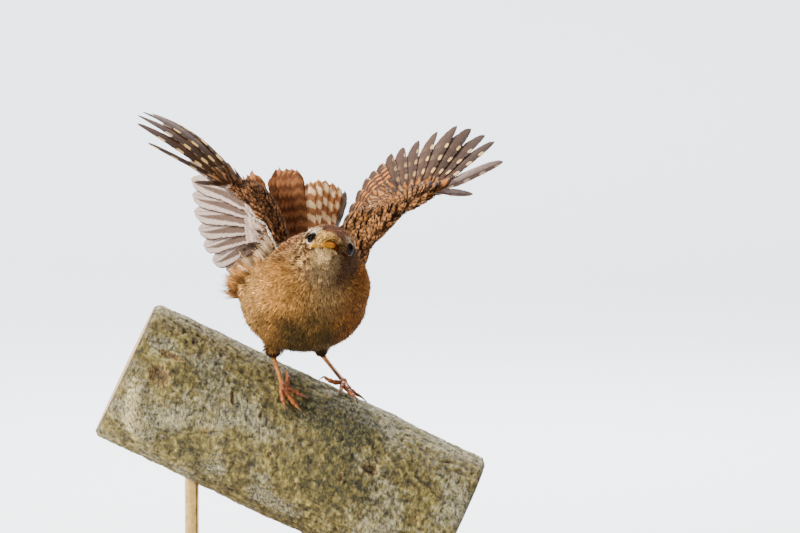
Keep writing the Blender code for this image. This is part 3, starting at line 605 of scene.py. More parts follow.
def sawn_material():
    """Pale sawn wood with growth rings round the branch's own axis."""
    material, tree, shader = new_material("sawn_wood", 0.7)
    centred = add(tree, "ShaderNodeMapping", {
        "Vector": object_place(tree), "Location": tuple(-PERCH_CENTRE * MM)}, vector_type="POINT")
    turned = add(tree, "ShaderNodeMapping", {
        "Vector": Value(tree, centred.outputs[0]), "Rotation": (0, -PERCH_SLOPE, 0)})
    _, across, over = parts_of(tree, "ShaderNodeSeparateXYZ", "Vector", Value(tree, turned.outputs[0]))
    wobble = object_noise(tree, 120.0, 3.0)
    radius = (across * across + over * over).calc("SQRT") + wobble * 0.002
    tone = (radius * 4200.0).calc("SINE") * 0.3 + wobble
    colour = tone.ramp((0.2, linear(116, 84, 50)), (0.6, linear(164, 130, 86)),
                       (0.9, linear(188, 156, 110)))
    dress(shader, tree, colour, tone, 0.3, 0.0003)
    return material


BARK_SCARS = (
    # (along, degrees, half length, half width, depth, turn in degrees)
    (21.3, 72.0, 2.6, 1.9, 0.9, 0), (-50.5, 76.0, 4.0, 3.0, 0.6, 20), (-50.0, 58.0, 4.2, 1.4, 0.4, 0),
    (-27.0, 68.0, 2.2, 0.7, 0.5, 60), (-17.0, 70.0, 1.8, 0.6, 0.5, 80), (-9.0, 96.0, 2.0, 0.5, 0.4, 85),
    (14.0, 88.0, 2.4, 0.6, 0.5, 70), (2.0, 108.0, 1.6, 0.4, 0.4, 80), (24.0, 105.0, 1.8, 0.5, 0.4, 75),
    (-30.0, 100.0, 1.6, 0.6, 0.4, 80), (40.0, 90.0, 2.0, 0.5, 0.4, 75), (-20.0, 118.0, 1.8, 0.5, 0.4, 80),
)


def branch_tube():
    """A unit tube along Z with fine faces, closed by ringed ends."""
    bm = unit_tube(BARK_SIDES, BARK_RINGS, False)
    for z in (-0.5, 0.5):
        rim = [edge for edge in bm.edges if all(abs(vert.co.z - z) < 1e-5 for vert in edge.verts)]
        cap = bmesh.ops.edgeloop_fill(bm, edges=rim)["faces"]
        for thickness in (0.06, 0.2, 0.24, 0.24):
            bmesh.ops.inset_region(bm, faces=cap, thickness=thickness, use_even_offset=True)
        bmesh.ops.poke(bm, faces=cap)
    bmesh.ops.recalc_face_normals(bm, faces=bm.faces)
    return object_from("branch", bm)


def bark_relief(along, angle, sample):
    """The bark's height over the plain branch, with masks of its scars."""
    coarse = lumps(sample * (0.5, 1, 1), 5.0, 1)
    plates = lumps(sample * (0.6, 1, 1), 1.9, 2)
    grit = lumps(sample, 0.7, 3)
    cracks = smooth(0.86, 1.0, 1 - np.abs(lumps(sample * (0.35, 1, 1), 3.0, 4)))
    wrinkles = smooth(0.55, 1.0, 1 - np.abs(lumps(sample * (2.2, 0.45, 0.45), 2.6, 9)))
    height = 0.16 * coarse + 0.2 * plates + 0.12 * grit - 0.4 * cracks - 0.2 * wrinkles - 0.06
    scarred = np.zeros_like(height)
    for place, degrees, half_long, half_wide, depth, turn in BARK_SCARS:
        across = (angle - math.radians(degrees)) * PERCH_RADIUS
        on = along - place
        turned = math.radians(turn)
        first = (on * math.cos(turned) + across * math.sin(turned)) / half_long
        second = (-on * math.sin(turned) + across * math.cos(turned)) / half_wide
        reach = np.sqrt(first ** 2 + second ** 2) + 0.16 * plates
        height += depth * (0.7 * np.exp(-((reach - 1.15) / 0.3) ** 2) - smooth(1.0, 0.4, reach))
        scarred = np.maximum(scarred, smooth(1.25, 0.75, reach))
    place, turn, long, wide, rise = KNOB
    lean = 0.35 * (angle - turn) * PERCH_RADIUS
    reach = ((along - place - lean) / wide) ** 2 + ((angle - turn) * PERCH_RADIUS / long) ** 2
    height += rise * np.exp(-reach ** 1.5) * (1 + 0.15 * plates)
    height = np.minimum(height, 0.35 + rise * np.exp(-reach))
    return height, plates, cracks + 0.8 * wrinkles, np.clip(scarred + 0.4 * np.exp(-reach), 0, 1)


def bark_growth(along, angle, sample, plates):
    """How much moss and how much lichen grows on the bark; the lichen share also carries a painted highlight
    along the top.
    """
    degrees = np.degrees(angle)
    moss_home = 1.3 * np.exp(-((along - 13) / 17) ** 2 - ((degrees - 40) / 24) ** 2)
    moss_field = lumps(sample * (0.5, 1, 1), 14.0, 5) + 0.5 * lumps(sample, 2.2, 6)
    moss = smooth(0.25, 1.0, moss_field * 0.7 + moss_home + 0.15 * smooth(70, 10, np.abs(degrees)))
    lichen = smooth(0.0, 0.9, lumps(sample, 10.0, 7) + 0.6 * lumps(sample, 1.3, 8) + 0.15)
    lichen *= 0.55 * (1 - moss * 0.9)
    # A painted highlight along the branch's top, laid into the lichen mask as pale lichen.
    painted_rim_highlight = smooth(24, 4, np.degrees(np.abs(angle - 0.1)))
    return moss, np.maximum(lichen, 0.6 * painted_rim_highlight * smooth(-0.3, 0.5, plates))


def make_perch():
    """The branch with its bark, lichen, moss, scars and sawn ends, with painted shade in its hollows and a
    painted highlight along its top.
    """
    perch = branch_tube()
    axis, upwards = perch_axes()
    unit_points = vertex_array(perch.data)
    share = np.hypot(unit_points[:, 0], unit_points[:, 1])
    angle = np.arctan2(unit_points[:, 1], unit_points[:, 0])
    along = PERCH_ENDS[0] + (unit_points[:, 2] + 0.5) * (PERCH_ENDS[1] - PERCH_ENDS[0])
    sample = np.stack([along, np.cos(angle) * PERCH_RADIUS, np.sin(angle) * PERCH_RADIUS], 1)
    height, plates, cracks, bare = bark_relief(along, angle, sample)
    near_end = np.minimum(along - PERCH_ENDS[0], PERCH_ENDS[1] - along)
    height -= END_BEVEL * (1 - smooth(0, 1.4, near_end))
    radius = (bark_radius(along, angle) + height) * share
    outwards = upwards * np.cos(angle)[:, None] + np.array((0, -1.0, 0)) * np.sin(angle)[:, None]
    set_vertices(perch.data, PERCH_CENTRE + axis * along[:, None] + outwards * radius[:, None])
    growth = bark_growth(along, angle, sample, plates)
    paint(perch.data, "masks", np.stack([*growth, bare], 1))
    # Painted shading from the relief: darker in hollows and cracks, a little lighter on raised bark.
    paint(perch.data, "painted_relief_shading", np.clip(0.78 + 0.5 * height, 0.35, 1.1) * (1 - 0.25 * cracks))
    show(perch, bark_material(), "bark", "perch")
    perch.data.materials.append(sawn_material())
    on_end = np.abs(np.abs(unit_points[:, 2]) - 0.5) < 1e-4
    for face in perch.data.polygons:
        face.material_index = int(on_end[list(face.vertices)].all())


# Wing surface
class Wing:
    """The surface that a wing's feathers lie in.

    Places 0 to 9 count the hand's feathers from its tip, 10 to 18 the forearm's.
    """

    def __init__(self, name):
        self.name = name
        self.places = np.linspace(-3, 21, 481)
        joints = np.array(ARM_JOINTS[name], float)
        elbow, wrist, fingertip = joints[2:]
        from_wrist = (self.places - HAND_FEATHERS)[:, None]
        self.roots = np.where(from_wrist <= 0,
                              wrist - (fingertip - wrist) * from_wrist / HAND_FEATHERS,
                              wrist + (elbow - wrist) * from_wrist / ARM_FEATHERS)
        table = FEATHER_DIRECTIONS[name]
        keys = np.array(sorted(table), float)
        points = unit([table[key] for key in sorted(table)])
        index = np.clip(np.searchsorted(keys, self.places, side="right") - 1, 0, len(keys) - 2)
        t = ((self.places - keys[index]) / (keys[index + 1] - keys[index]))[:, None]
        p0, p1 = points[np.maximum(index - 1, 0)], points[index]
        p2, p3 = points[index + 1], points[np.minimum(index + 2, len(keys) - 1)]
        ahead, behind = (p2 - p0) / 2, (p3 - p1) / 2
        curved = (p1 + (p2 - p1) * (3 * t ** 2 - 2 * t ** 3) + ahead * (t ** 3 - 2 * t ** 2 + t)
                  + behind * (t ** 3 - t ** 2))
        self.directions = unit(np.where((t < 0) | (t > 1), p1 + (p2 - p1) * t, curved))
        bow = WING_BOW[name]
        self.bows = np.interp(self.places, sorted(bow), [bow[key] for key in sorted(bow)])

    def at(self, table, places):
        """A table's values between its places."""
        table = np.asarray(table)
        if table.ndim == 1:
            return np.interp(places, self.places, table)
        return np.stack([np.interp(places, self.places, table[:, k]) for k in range(3)], -1)

    def surface(self, places, reach):
        """Points on the flat wing, so far along the feathers that root at the places."""
        return self.at(self.roots, places) + self.at(self.directions, places) * reach[..., None]

    def step(self, places, reach):
        """The way to the next feather outwards, and how far it slips along this one."""
        along = unit(self.at(self.directions, places))
        step = self.surface(places - 0.5, reach) - self.surface(places + 0.5, reach)
        slip = np.sum(step * along, -1)
        return along, step - along * slip[..., None], slip

    def point(self, places, reach, aside, height):
        """Points beside a feather's shaft, with the wing's direction out of its upper side."""
        places, reach, aside, height = np.broadcast_arrays(places, reach, aside, height)
        _, step, slip = self.step(places, reach)
        shift = aside / np.maximum(np.linalg.norm(step, axis=-1), 0.4)
        middle = self.surface(places - shift, reach - shift * slip)
        along, step, _ = self.step(places - shift, reach)
        lift = unit(np.cross(step, along) * (1 if self.name == "wing_left" else -1))
        depth = reach / WING_DEPTH
        bow = self.at(self.bows, places - shift) * 4 * depth * (1 - depth)
        return middle + lift * (height + bow)[..., None], lift


# Vanes
def outline(t, root, widest, tip):
    """A feather's half width along its length: narrow at the root, full, then rounded."""
    grow = root + (1 - root) * smooth(0, widest, t)
    close = np.sqrt(np.clip(1 - np.clip((t - tip) / (1 - tip), 0, 1) ** 2.2, 0, 1))
    return grow * close


def closed_grid(across, along):
    """Corners of a thin closed blade whose two sides share their rim."""
    top = np.arange((along + 1) * (across + 1)).reshape(along + 1, across + 1)
    under = top.copy()
    inner = (along - 1) * (across - 1)
    under[1:-1, 1:-1] = np.arange(inner).reshape(along - 1, across - 1) + top.size
    faces = []
    for grid, turn in ((top, False), (under, True)):
        quad = np.stack([grid[:-1, :-1], grid[:-1, 1:], grid[1:, 1:], grid[1:, :-1]], -1).reshape(-1, 4)
        faces.append(quad[:, ::-1] if turn else quad)
    return np.concatenate(faces), top.size + inner


def join_blades(name, middles, lifts, thickness, flat, extra):
    """One mesh of many closed blades, with a UV map along each and a rectangle for each side.

    middles and lifts have the shape (feathers, along, across, 3); flat holds across and along
    from 0 to 1, and extra three values for each feather.
    """
    count, rows, columns = middles.shape[:3]
    faces, size = closed_grid(columns - 1, rows - 1)
    rise = thickness * lifts * 0.5
    top = (middles + rise).reshape(count, -1, 3)
    under = (middles - rise)[:, 1:-1, 1:-1].reshape(count, -1, 3)
    rim = np.ones((rows, columns), bool)
    rim[1:-1, 1:-1] = False
    flat_rim = rim.ravel()
    top[:, flat_rim] = middles.reshape(count, -1, 3)[:, flat_rim]
    points = np.concatenate([top, under], 1)
    places = np.concatenate([flat.reshape(count, -1, 2), flat[:, 1:-1, 1:-1].reshape(count, -1, 2)], 1)
    side = np.concatenate([np.where(flat_rim, 0.5, 0.0), np.ones((rows - 2) * (columns - 2))])
    side = np.broadcast_to(side, (count, size))
    tiles = math.ceil(math.sqrt(count))
    number = np.arange(count)
    cell = np.stack([number % tiles, number // tiles], -1)[:, None, None]
    under_half = np.repeat((0.0, 0.5), len(faces) // 2)[:, None]
    corner_places = places[:, faces]
    packed = np.stack([corner_places[..., 0] * 0.42 + 0.04 + under_half,
                       corner_places[..., 1] * 0.94 + 0.03], -1)
    packed = (cell + packed) / tiles
    values = np.broadcast_to(np.asarray(extra)[:, None], (count, size, 3))
    every = (faces[None] + (number * size)[:, None, None]).reshape(-1, 4)
    return object_from_arrays(name, points.reshape(-1, 3), every,
                              {"OFBake": packed.reshape(-1, 2), "Vane": places.reshape(-1, 2)},
                              {"feather": values.reshape(-1, 3), "under": side.reshape(-1)})


def wing_blades(wing, places, lengths, webs, rises, shape, rng, cells):
    """Middles, lifts and flat places of feathers on a wing's surface."""
    places, lengths = np.asarray(places, float), np.asarray(lengths, float)
    u = np.linspace(-1, 1, cells[0] + 1)[None, None, :]
    along = np.linspace(0, 1, cells[1] + 1)
    t = along[None, :, None]
    notch = 1 - RAGGED * np.abs(rng.standard_normal((len(places), len(along), 2)))
    fray = np.where(u > 0, notch[..., :1], notch[..., 1:])
    webs = np.broadcast_to(np.asarray(webs, float), (len(places), 2))
    reach = t * lengths[:, None, None] * np.ones_like(u)
    place = places[:, None, None] * np.ones_like(reach)
    spacing = np.linalg.norm(wing.step(place, reach)[1], axis=-1)
    side = np.where(u > 0, webs[:, 0, None, None], webs[:, 1, None, None])
    width = outline(along, *shape)[None, :, None]
    aside = np.minimum(side * width * fray, 3.3 * spacing) * u
    low, high = rises
    height = low + (high - low) * np.sqrt(t) + WING_SLOPE * aside - 0.02 * aside ** 2
    lay = rng.normal(0, 0.045, (len(places), 1, 1)) * t
    middles, lifts = wing.point(place + lay, reach, aside, height)
    flat = np.stack(np.broadcast_arrays((u + 1) / 2, t * np.ones_like(reach)), -1)
    return middles, lifts, flat


class Vane:
    """A feather's finish in the making, with what its mesh tells it."""

    def __init__(self, name, roughness, specular):
        self.material, tree, self.shader = new_material(name, roughness, Specular_IOR_Level=specular)
        self.tree = tree
        place = Value(tree, add(tree, "ShaderNodeUVMap", uv_map="Vane").outputs[0])
        self.across, self.along, _ = parts_of(tree, "ShaderNodeSeparateXYZ", "Vector", place)
        self.shade, hundredths, self.mark = parts_of(tree, "ShaderNodeSeparateColor", "Color",
                                                     attribute(tree, "feather"))
        self.below = attribute(tree, "under", "Fac").step(0.55, 0.8)
        self.away = abs(self.across - 0.5)
        self.reach = self.along * (hundredths * 100.0)

    def wave(self, shift, period):
        """Even waves along the feather; shift and period are in millimetres."""
        return ((self.reach + shift) * (2 * math.pi / period)).calc("SINE")

    def spots(self, first, period, last, half_long, middle, half_wide):
        """Rounded spots in rows along a web, up to the reach of the last row."""
        turn = ((self.reach - (first - period / 2)) * (1 / period)).calc("FRACT")
        on = abs((turn - 0.5) * (period / half_long))
        off = abs((self.across - middle) * (1 / half_wide))
        spots = (on ** 3.0 + off ** 3.0).step(1.25, 0.7)
        return spots * self.reach.step(last + period * 0.5, last + period * 0.4)

    def tongue(self):
        """The dusky spear shape beside the shaft that a feather shows from below."""
        room = (self.along * -1.0 + 0.985).calc("MAXIMUM", 0.0) ** 0.6 * 0.25
        return (room - abs(self.across - 0.31)).step(-0.02, 0.05) * 0.95

    def lower(self, ground, tongue, rim_start, rim_share, rim):
        """The under side: a pale ground, the dusky spear and a darker rim."""
        colour = mix(self.tree, self.tongue(), ground, tongue)
        return colour.mix(self.away.step(rim_start, 0.495) * rim_share, rim)

    def finish(self, colour, mottle, mottled, shaded, shaft=None):
        """The material, mottled and shaded by feather, with its barbs and shaft."""
        colour = colour.times(mottle.ramp((0.3, mottled[0]), (0.7, mottled[1])))
        if shaft:
            colour = colour.mix(self.away.step(0.03, 0.012) * shaft[0], shaft[1])
        colour = colour.times(self.shade.ramp((0.0, shaded[0]), (1.0, shaded[1])))
        slant = (self.along * BARB_ROWS - self.away * BARB_SLANT) * FULL_TURN
        ridge = (self.away * 40.0).calc("SMOOTH_MIN", 1.0, 0.5)
        relief = slant.calc("SINE") * 0.4 - ridge * 1.2
        dress(self.shader, self.tree, colour, relief, BARB_RELIEF, BARB_HEIGHT)
        return self.material


def flight_material(name, ground, outer, spot, pale, under_ground, under_tongue):
    """Grey-brown vanes with cream spots on the outer web, silvery below."""
    vane = Vane(name, 0.8, 0.1)
    spots = vane.spots(*SPOT_ROWS) * vane.mark
    mottle = object_noise(vane.tree, 900.0, 4.0)
    upper = mix(vane.tree, vane.across.step(0.5, 0.56), ground, outer)
    bars = vane.wave(-6.6, 6.9).step(0.1, 0.6) * vane.across.step(0.45, 0.25) * vane.along.step(0.85, 0.5)
    upper = upper.mix(bars * 0.5, pale)
    upper = upper.mix(vane.along.step(0.42, 0.1) * mottle, linear(120, 66, 26))
    upper = upper.mix(vane.spots(3.0, 2.6, 60.0, 0.7, 1.0, 0.1) * 0.7, pale)
    upper = upper.mix(spots, spot)
    lower = vane.lower(under_ground, under_tongue, 0.47, 0.6, under_tongue).mix(spots * 0.4, pale)
    return vane.finish(upper.mix(vane.below, lower), mottle, (0.72, 1.16), (0.82, 1.14),
                       (0.7, linear(44, 28, 20)))


def secondary_material():
    """Rufous vanes crossed by dark bars, with dark tips notched in cream; silvery below."""
    vane = Vane("secondary_vane", 0.8, 0.1)
    wobble = object_noise(vane.tree, 600.0, 2.0) * 1.4
    wave = vane.wave(vane.away * 2.4 + wobble, 3.1)
    light = mix(vane.tree, vane.across.step(0.5, 0.62), linear(112, 70, 36), linear(160, 98, 40))
    tip = vane.along.step(0.80, 0.9)
    upper = light.mix(wave.step(-0.3, 0.4), linear(46, 28, 16)).mix(tip, linear(62, 42, 30))
    upper = upper.mix(vane.spots(1.0, 2.2, 60.0, 0.6, 1.0, 0.14) * tip, linear(206, 178, 132))
    lower = vane.lower(linear(160, 141, 131), linear(74, 56, 44), 0.465, 0.7, linear(104, 78, 56))
    mottle = object_noise(vane.tree, 1100.0, 4.0)
    return vane.finish(upper.mix(vane.below, lower), mottle, (0.76, 1.18), (0.84, 1.12),
                       (0.6, linear(60, 40, 26)))


def barred_material(name, light, dark, tip, period, contrast=1.0, sharp=0.5, stagger=0.6):
    """Feathers crossed by dark bars, with a pale tip where their own mark gives one."""
    vane = Vane(name, 0.85, 0.05)
    wobble = object_noise(vane.tree, 700.0, 2.0) * 1.6
    wave = vane.wave(vane.away * 2.2 + wobble + vane.shade * stagger, period)
    colour = mix(vane.tree, wave.step(-sharp, sharp) * contrast, light, dark)
    colour = colour.mix(vane.along.step(0.80, 0.9) * vane.mark.step(0.5, 0.6), tip)
    return vane.finish(colour, object_noise(vane.tree, 1300.0, 4.0), (0.75, 1.2), (0.7, 1.3))


def scaled_material(name, light, dark, tip):
    """A small feather with a light middle, a dark rim and a dark bar."""
    vane = Vane(name, 0.85, 0.1)
    far = (vane.away * 2.1) ** 2.0 + vane.along ** 3.0
    colour = mix(vane.tree, far.step(0.5, 0.95), light, dark)
    colour = colour.mix(abs(vane.along - 0.46).step(0.14, 0.05) * 0.75, dark)
    colour = colour.mix(vane.along.step(0.4, 0.1), dark)
    dot = vane.along.step(0.82, 0.9) * vane.away.step(0.2, 0.1)
    colour = colour.mix(dot * vane.mark, tip)
    return vane.finish(colour, object_noise(vane.tree, 1300.0, 4.0), (0.55, 1.3), (0.42, 1.3))


def feather_values(rng, lengths, third):
    """Three values a feather keeps: its own shade, its length over 100 mm and a mark."""
    lengths = np.asarray(lengths, float)
    third = np.broadcast_to(third, lengths.shape)
    return np.stack([rng.random(len(lengths)), lengths / 100, third], 1)


def make_wing(name, finishes):
    """Flight feathers, rows of coverts above and below, for one wing."""
    rng = np.random.default_rng(SEED + len(name))
    wing = Wing(name)
    side = name.split("_")[1]
    lengths = np.array(FEATHER_LENGTHS, float)
    lengths[9:] *= REAR_STRETCH[name]
    outermost = "outermost" if side == "left" else "primary"

    def vanes(piece, places, lengths, webs, rises, shape, cells, thickness, key, marks):
        """A piece of this wing with one feather at each place."""
        blades = wing_blades(wing, places, lengths, webs, rises, shape, rng, cells)
        feathers = join_blades(piece, *blades[:2], thickness, blades[2],
                               feather_values(rng, lengths, marks))
        return show(feathers, finishes[key], "flight_plumage")

    for piece, first, last, shape, key, marks in (
            ("outermost", 0, 2, PRIMARY_SHAPE, outermost, OUTERMOST_MARKS),
            ("primaries", 2, 10, PRIMARY_SHAPE, "primary", PRIMARY_MARKS),
            ("secondaries", 10, 19, SECONDARY_SHAPE, "secondary", SECONDARY_MARKS)):
        feathers = vanes(f"{piece}_{side}", np.arange(first, last), lengths[first:last],
                         FEATHER_WEBS[first:last], (0, 0), shape, FLIGHT_CELLS, FLIGHT_THICKNESS,
                         key, marks)
        if piece == "outermost":
            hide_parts(name)
    for piece, places, length, web, rises, shape, key, marks in covert_rows(side, rng):
        vanes(f"{piece}_{side}", places, length, web, rises, shape, COVERT_CELLS, COVERT_THICKNESS,
              key, marks)
    return wing


def covert_rows(side, rng):
    """Rows of coverts from the flight feathers' roots to the leading edge."""
    def row(first, last, step, hand_step=1.0):
        """Places along the wing, spaced a little unevenly, and wider over the hand by hand_step."""
        places = np.concatenate([np.arange(first, 9.5, step * hand_step), np.arange(9.5, last, step)])
        return places + rng.normal(0, step * 0.18, len(places))

    rows = []
    # The right wing's coverts take copies of the covert finishes with painted shade.
    dark = "_dark" if side == "right" else ""
    places = row(1.7 if side == "left" else 0.6, 9.5, 1.0)
    rows.append(("primary_coverts", places, rng.normal(11, 0.5, len(places)), (1.3, 2.0), (0.5, 1.0),
                 GREATER_SHAPE, "covert" + dark, 0.2))
    places = row(9.6, 18.6, 0.85)
    rows.append(("greater_coverts", places, rng.normal(17, 0.6, len(places)), (1.8, 2.4), (0.6, 1.1),
                 GREATER_SHAPE, "covert" + dark, rng.random(len(places)) * 0.62))
    for tier, (length, low, high, web, step) in enumerate(COVERT_TIERS):
        places = row(1.9 + 0.4 * tier, 19.0, step * 1.15, 1.7)
        hand = 1 - 0.4 * smooth(10.5, 7.5, places) * (tier < 3)
        marks = (rng.random(len(places)) < 0.3) * (places > 12) * 1.0 if tier in (2, 3) else 0.1
        lengths = rng.normal(length, 0.07 * length, len(places)) * hand
        rows.append((f"covert_tier_{tier}", places, lengths, (web, web), (low, high), LESSER_SHAPE,
                     "lesser" + dark, marks))
    for tier, (length, low, high, web, step) in enumerate(UNDER_TIERS):
        places = row(1.0 + 0.5 * tier, 18.5, step)
        rows.append((f"under_coverts_{tier}", places, rng.normal(length, 0.4, len(places)), (web, web),
                     (low, high), LESSER_SHAPE, "under", 0.2))
    return rows
# Tail
def tail_feather(rng, place, u, t):
    """A tail feather's middle surface, over its width u and its length t."""
    angle = math.radians(TAIL_ANGLES[place])
    ahead = TAIL_UP * math.cos(angle) + np.array((math.sin(angle), 0, 0))
    edge = unit(np.cross(ahead, TAIL_BACK))
    aside = (place - TAIL_MIDDLE) * TAIL_SPACING
    root = TAIL_ROOT + np.array((aside, TAIL_LAYERS[place] * TAIL_SPACING, 0))
    width = outline(t[:, 0], *TAIL_SHAPE)[:, None] * TAIL_HALF_WIDTH
    fray = 1 - 0.07 * np.abs(rng.standard_normal(t.shape))
    reach = TAIL_LENGTHS[place] * t + rng.normal(0, 0.5, u.shape) * smooth(0.8, 1.0, t)
    cup = 0.35 * (u * u) - 2 * t * (1 - t)
    return (root + ahead * reach[..., None] - edge * (width * fray * u)[..., None]
            + TAIL_BACK * cup[..., None])


def make_tail(finishes):
    """Barred tail feathers in two bundles, with the outermost pair spread to one side."""
    rng = np.random.default_rng(SEED + 5)
    u = np.linspace(-1, 1, TAIL_CELLS[0] + 1)[None, :]
    t = np.linspace(0, 1, TAIL_CELLS[1] + 1)[:, None]
    middles = np.array([tail_feather(rng, place, u, t) for place in range(len(TAIL_ANGLES))])
    lifts = np.broadcast_to(-TAIL_BACK, middles.shape)
    flat = np.stack(np.broadcast_arrays((u + 1) / 2, t), -1)
    for name, first, last, key in TAIL_PIECES:
        lengths = np.array(TAIL_LENGTHS[first:last], float)
        blades = join_blades(name, middles[first:last], lifts[first:last], TAIL_THICKNESS,
                             np.array([flat] * (last - first)), feather_values(rng, lengths, 0.2))
        show(blades, finishes[key], "flight_plumage")
        if name == "tail_rufous":
            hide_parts("tail")


def feather_finishes():
    """The finishes of the wings' and the tail's feathers."""
    return {
        "primary": flight_material("primary_vane", linear(64, 42, 29), linear(55, 36, 24),
                                   linear(214, 172, 108), linear(124, 98, 70),
                                   linear(122, 102, 88), linear(60, 44, 34)),
        "outermost": flight_material("outermost_vane", linear(132, 112, 104), linear(104, 84, 74),
                                     linear(190, 164, 130), linear(150, 128, 112),
                                     linear(150, 130, 120), linear(92, 72, 60)),
        "secondary": secondary_material(),
        "covert": scaled_material("covert_vane", linear(154, 90, 30), linear(58, 36, 16),
                                  linear(200, 150, 86)),
        # Copy with painted shade for the right wing.
        "covert_dark": scaled_material("covert_dark_vane", linear(132, 80, 36), linear(52, 33, 19),
                                       linear(200, 150, 86)),
        "lesser": scaled_material("lesser_vane", linear(152, 100, 54), linear(66, 42, 23),
                                  linear(232, 220, 196)),
        # Copy with painted shade for the right wing.
        "lesser_dark": scaled_material("lesser_dark_vane", linear(158, 104, 62), linear(52, 33, 21),
                                       linear(196, 160, 110)),
        "under": barred_material("under_vane", linear(162, 140, 126), linear(104, 84, 70),
                                 linear(214, 200, 186), 4.0, 0.4),
        "tail": barred_material("tail_vane", linear(145, 95, 60), linear(84, 52, 34),
                                linear(170, 106, 50), 3.4, 0.75, 0.9),
        "tail_pale": barred_material("tail_pale_vane", linear(255, 218, 164), linear(152, 90, 48),
                                     linear(214, 172, 118), 4.2, 0.9, 0.7, 2.6),
        "tail_grey": barred_material("tail_grey_vane", linear(170, 154, 144), linear(128, 112, 100),
                                     linear(200, 188, 184), 4.4, 0.5, 0.6),
    }


# Plumage colours
CROWN = linear(92, 55, 34)
CROWN_FLECK = linear(150, 104, 70)
FOREHEAD = linear(202, 156, 84)
BROW = linear(232, 212, 168)
CHEEK_PALE = linear(188, 146, 90)
CHEEK_DARK = linear(60, 36, 20)
THROAT = linear(110, 90, 60)
CHIN = linear(186, 152, 102)
OCHRE = linear(160, 112, 54)
OCHRE_DEEP = linear(100, 58, 18)
BUFF = linear(101, 72, 35)
BELLY = linear(66, 51, 24)
BELLY_LOW = linear(56, 42, 19)
FLANK = linear(188, 142, 82)
BACK = linear(88, 52, 24)
RUMP = linear(112, 62, 24)
THIGH = linear(47, 27, 14)
UMBER = linear(42, 25, 14)

FLESH = ("torso", "neck", "head", "thigh_left", "thigh_right")
FORM_VOXEL = 0.55
FORM_SWELL = 0.25
COAT_DEPTH = 1.1
FACE_DEPTH = 0.35
LEG_TOP = 101.0
# Painted shade: the skin under the coat is darkened by these shares so that it reads as shade between the
# feathers.
SKIN_SHADE = 0.5
ARM_SKIN_SHADE = 0.45


def head_frame(points):
    """How far points lie to the head's left, ahead of it and above it."""
    offset = np.asarray(points, float) - HEAD_PLACE
    return offset @ HEAD_LEFT, offset @ HEAD_FORWARD, offset @ HEAD_UP


def head_point(side, forward, up):
    """The place that is so far to the head's left, ahead of it and above it."""
    side, forward, up = np.broadcast_arrays(side, forward, up)
    return (HEAD_PLACE + HEAD_LEFT * side[..., None] + HEAD_FORWARD * forward[..., None]
            + HEAD_UP * up[..., None])


def eye_place(side):
    """An eye's centre and the way it looks; side is 1 for the bird's left."""
    turn = unit(EYE_TURN)
    look = unit(HEAD_LEFT * turn[0] * side + HEAD_FORWARD * turn[1] + HEAD_UP * turn[2])
    return head_point(EYE_SIDE * side, EYE_FORWARD, 0) - look * EYE_SINK, look


def face_share(points):
    """How far a point belongs to the head, from 0 on the body to 1 on the face."""
    left, forward, up = head_frame(points)
    reach = np.sqrt(left ** 2 + (forward + 3) ** 2 + (up + 1) ** 2)
    return smooth(13.0, 9.0, reach)


def body_markings(points, normals):
    """Ground colours of the body, with painted shade on its left side and painted light on its right, and
    how barred and how pale its feathers are.
    """
    x, y, z = points.T
    front = smooth(4, -14, y)
    centre = np.exp(-((x - 7.0 - 0.25 * (118 - z)) / 7.5) ** 2) * front
    streak = lumps(points * (1, 1, 0.45), 2.4, 21)
    patch = lumps(points, 5.0, 22)
    # Painted shade: the body's left side, away from the key light, is painted a deeper ochre.
    painted_shade_left = smooth(7, 17, x) * front
    flank = smooth(-6, -15, x)
    low = smooth(123, 110, z + 2.5 * patch)
    back = np.maximum(smooth(-0.1, 0.45, normals[:, 2]) * smooth(-14, -4, y),
                      smooth(2, 12, y) * smooth(108, 122, z))
    colour = layered(OCHRE, (BUFF, centre * smooth(96, 118, z) * 0.85), (FLANK, flank * 0.8),
                     # Painted light: the dark belly fades out towards the bird's right, the lit side.
                     (BELLY, low * (0.95 - 0.75 * smooth(-2, -12, x))),
                     (BELLY_LOW, smooth(106, 99, z) * 0.7),
                     (OCHRE_DEEP, np.clip(painted_shade_left * 0.85 + 0.12 * patch, 0, 1)),
                     (BACK, back), (RUMP, back * smooth(2, 14, y) * 0.7))
    colour = colour * (1 + 0.2 * streak + 0.14 * patch)[:, None]
    bars = np.clip(0.8 * low + 0.7 * back + 0.6 * flank + 0.6 * painted_shade_left, 0, 1)
    return colour, bars, np.clip(0.5 + 0.4 * centre - 0.45 * back, 0, 1)


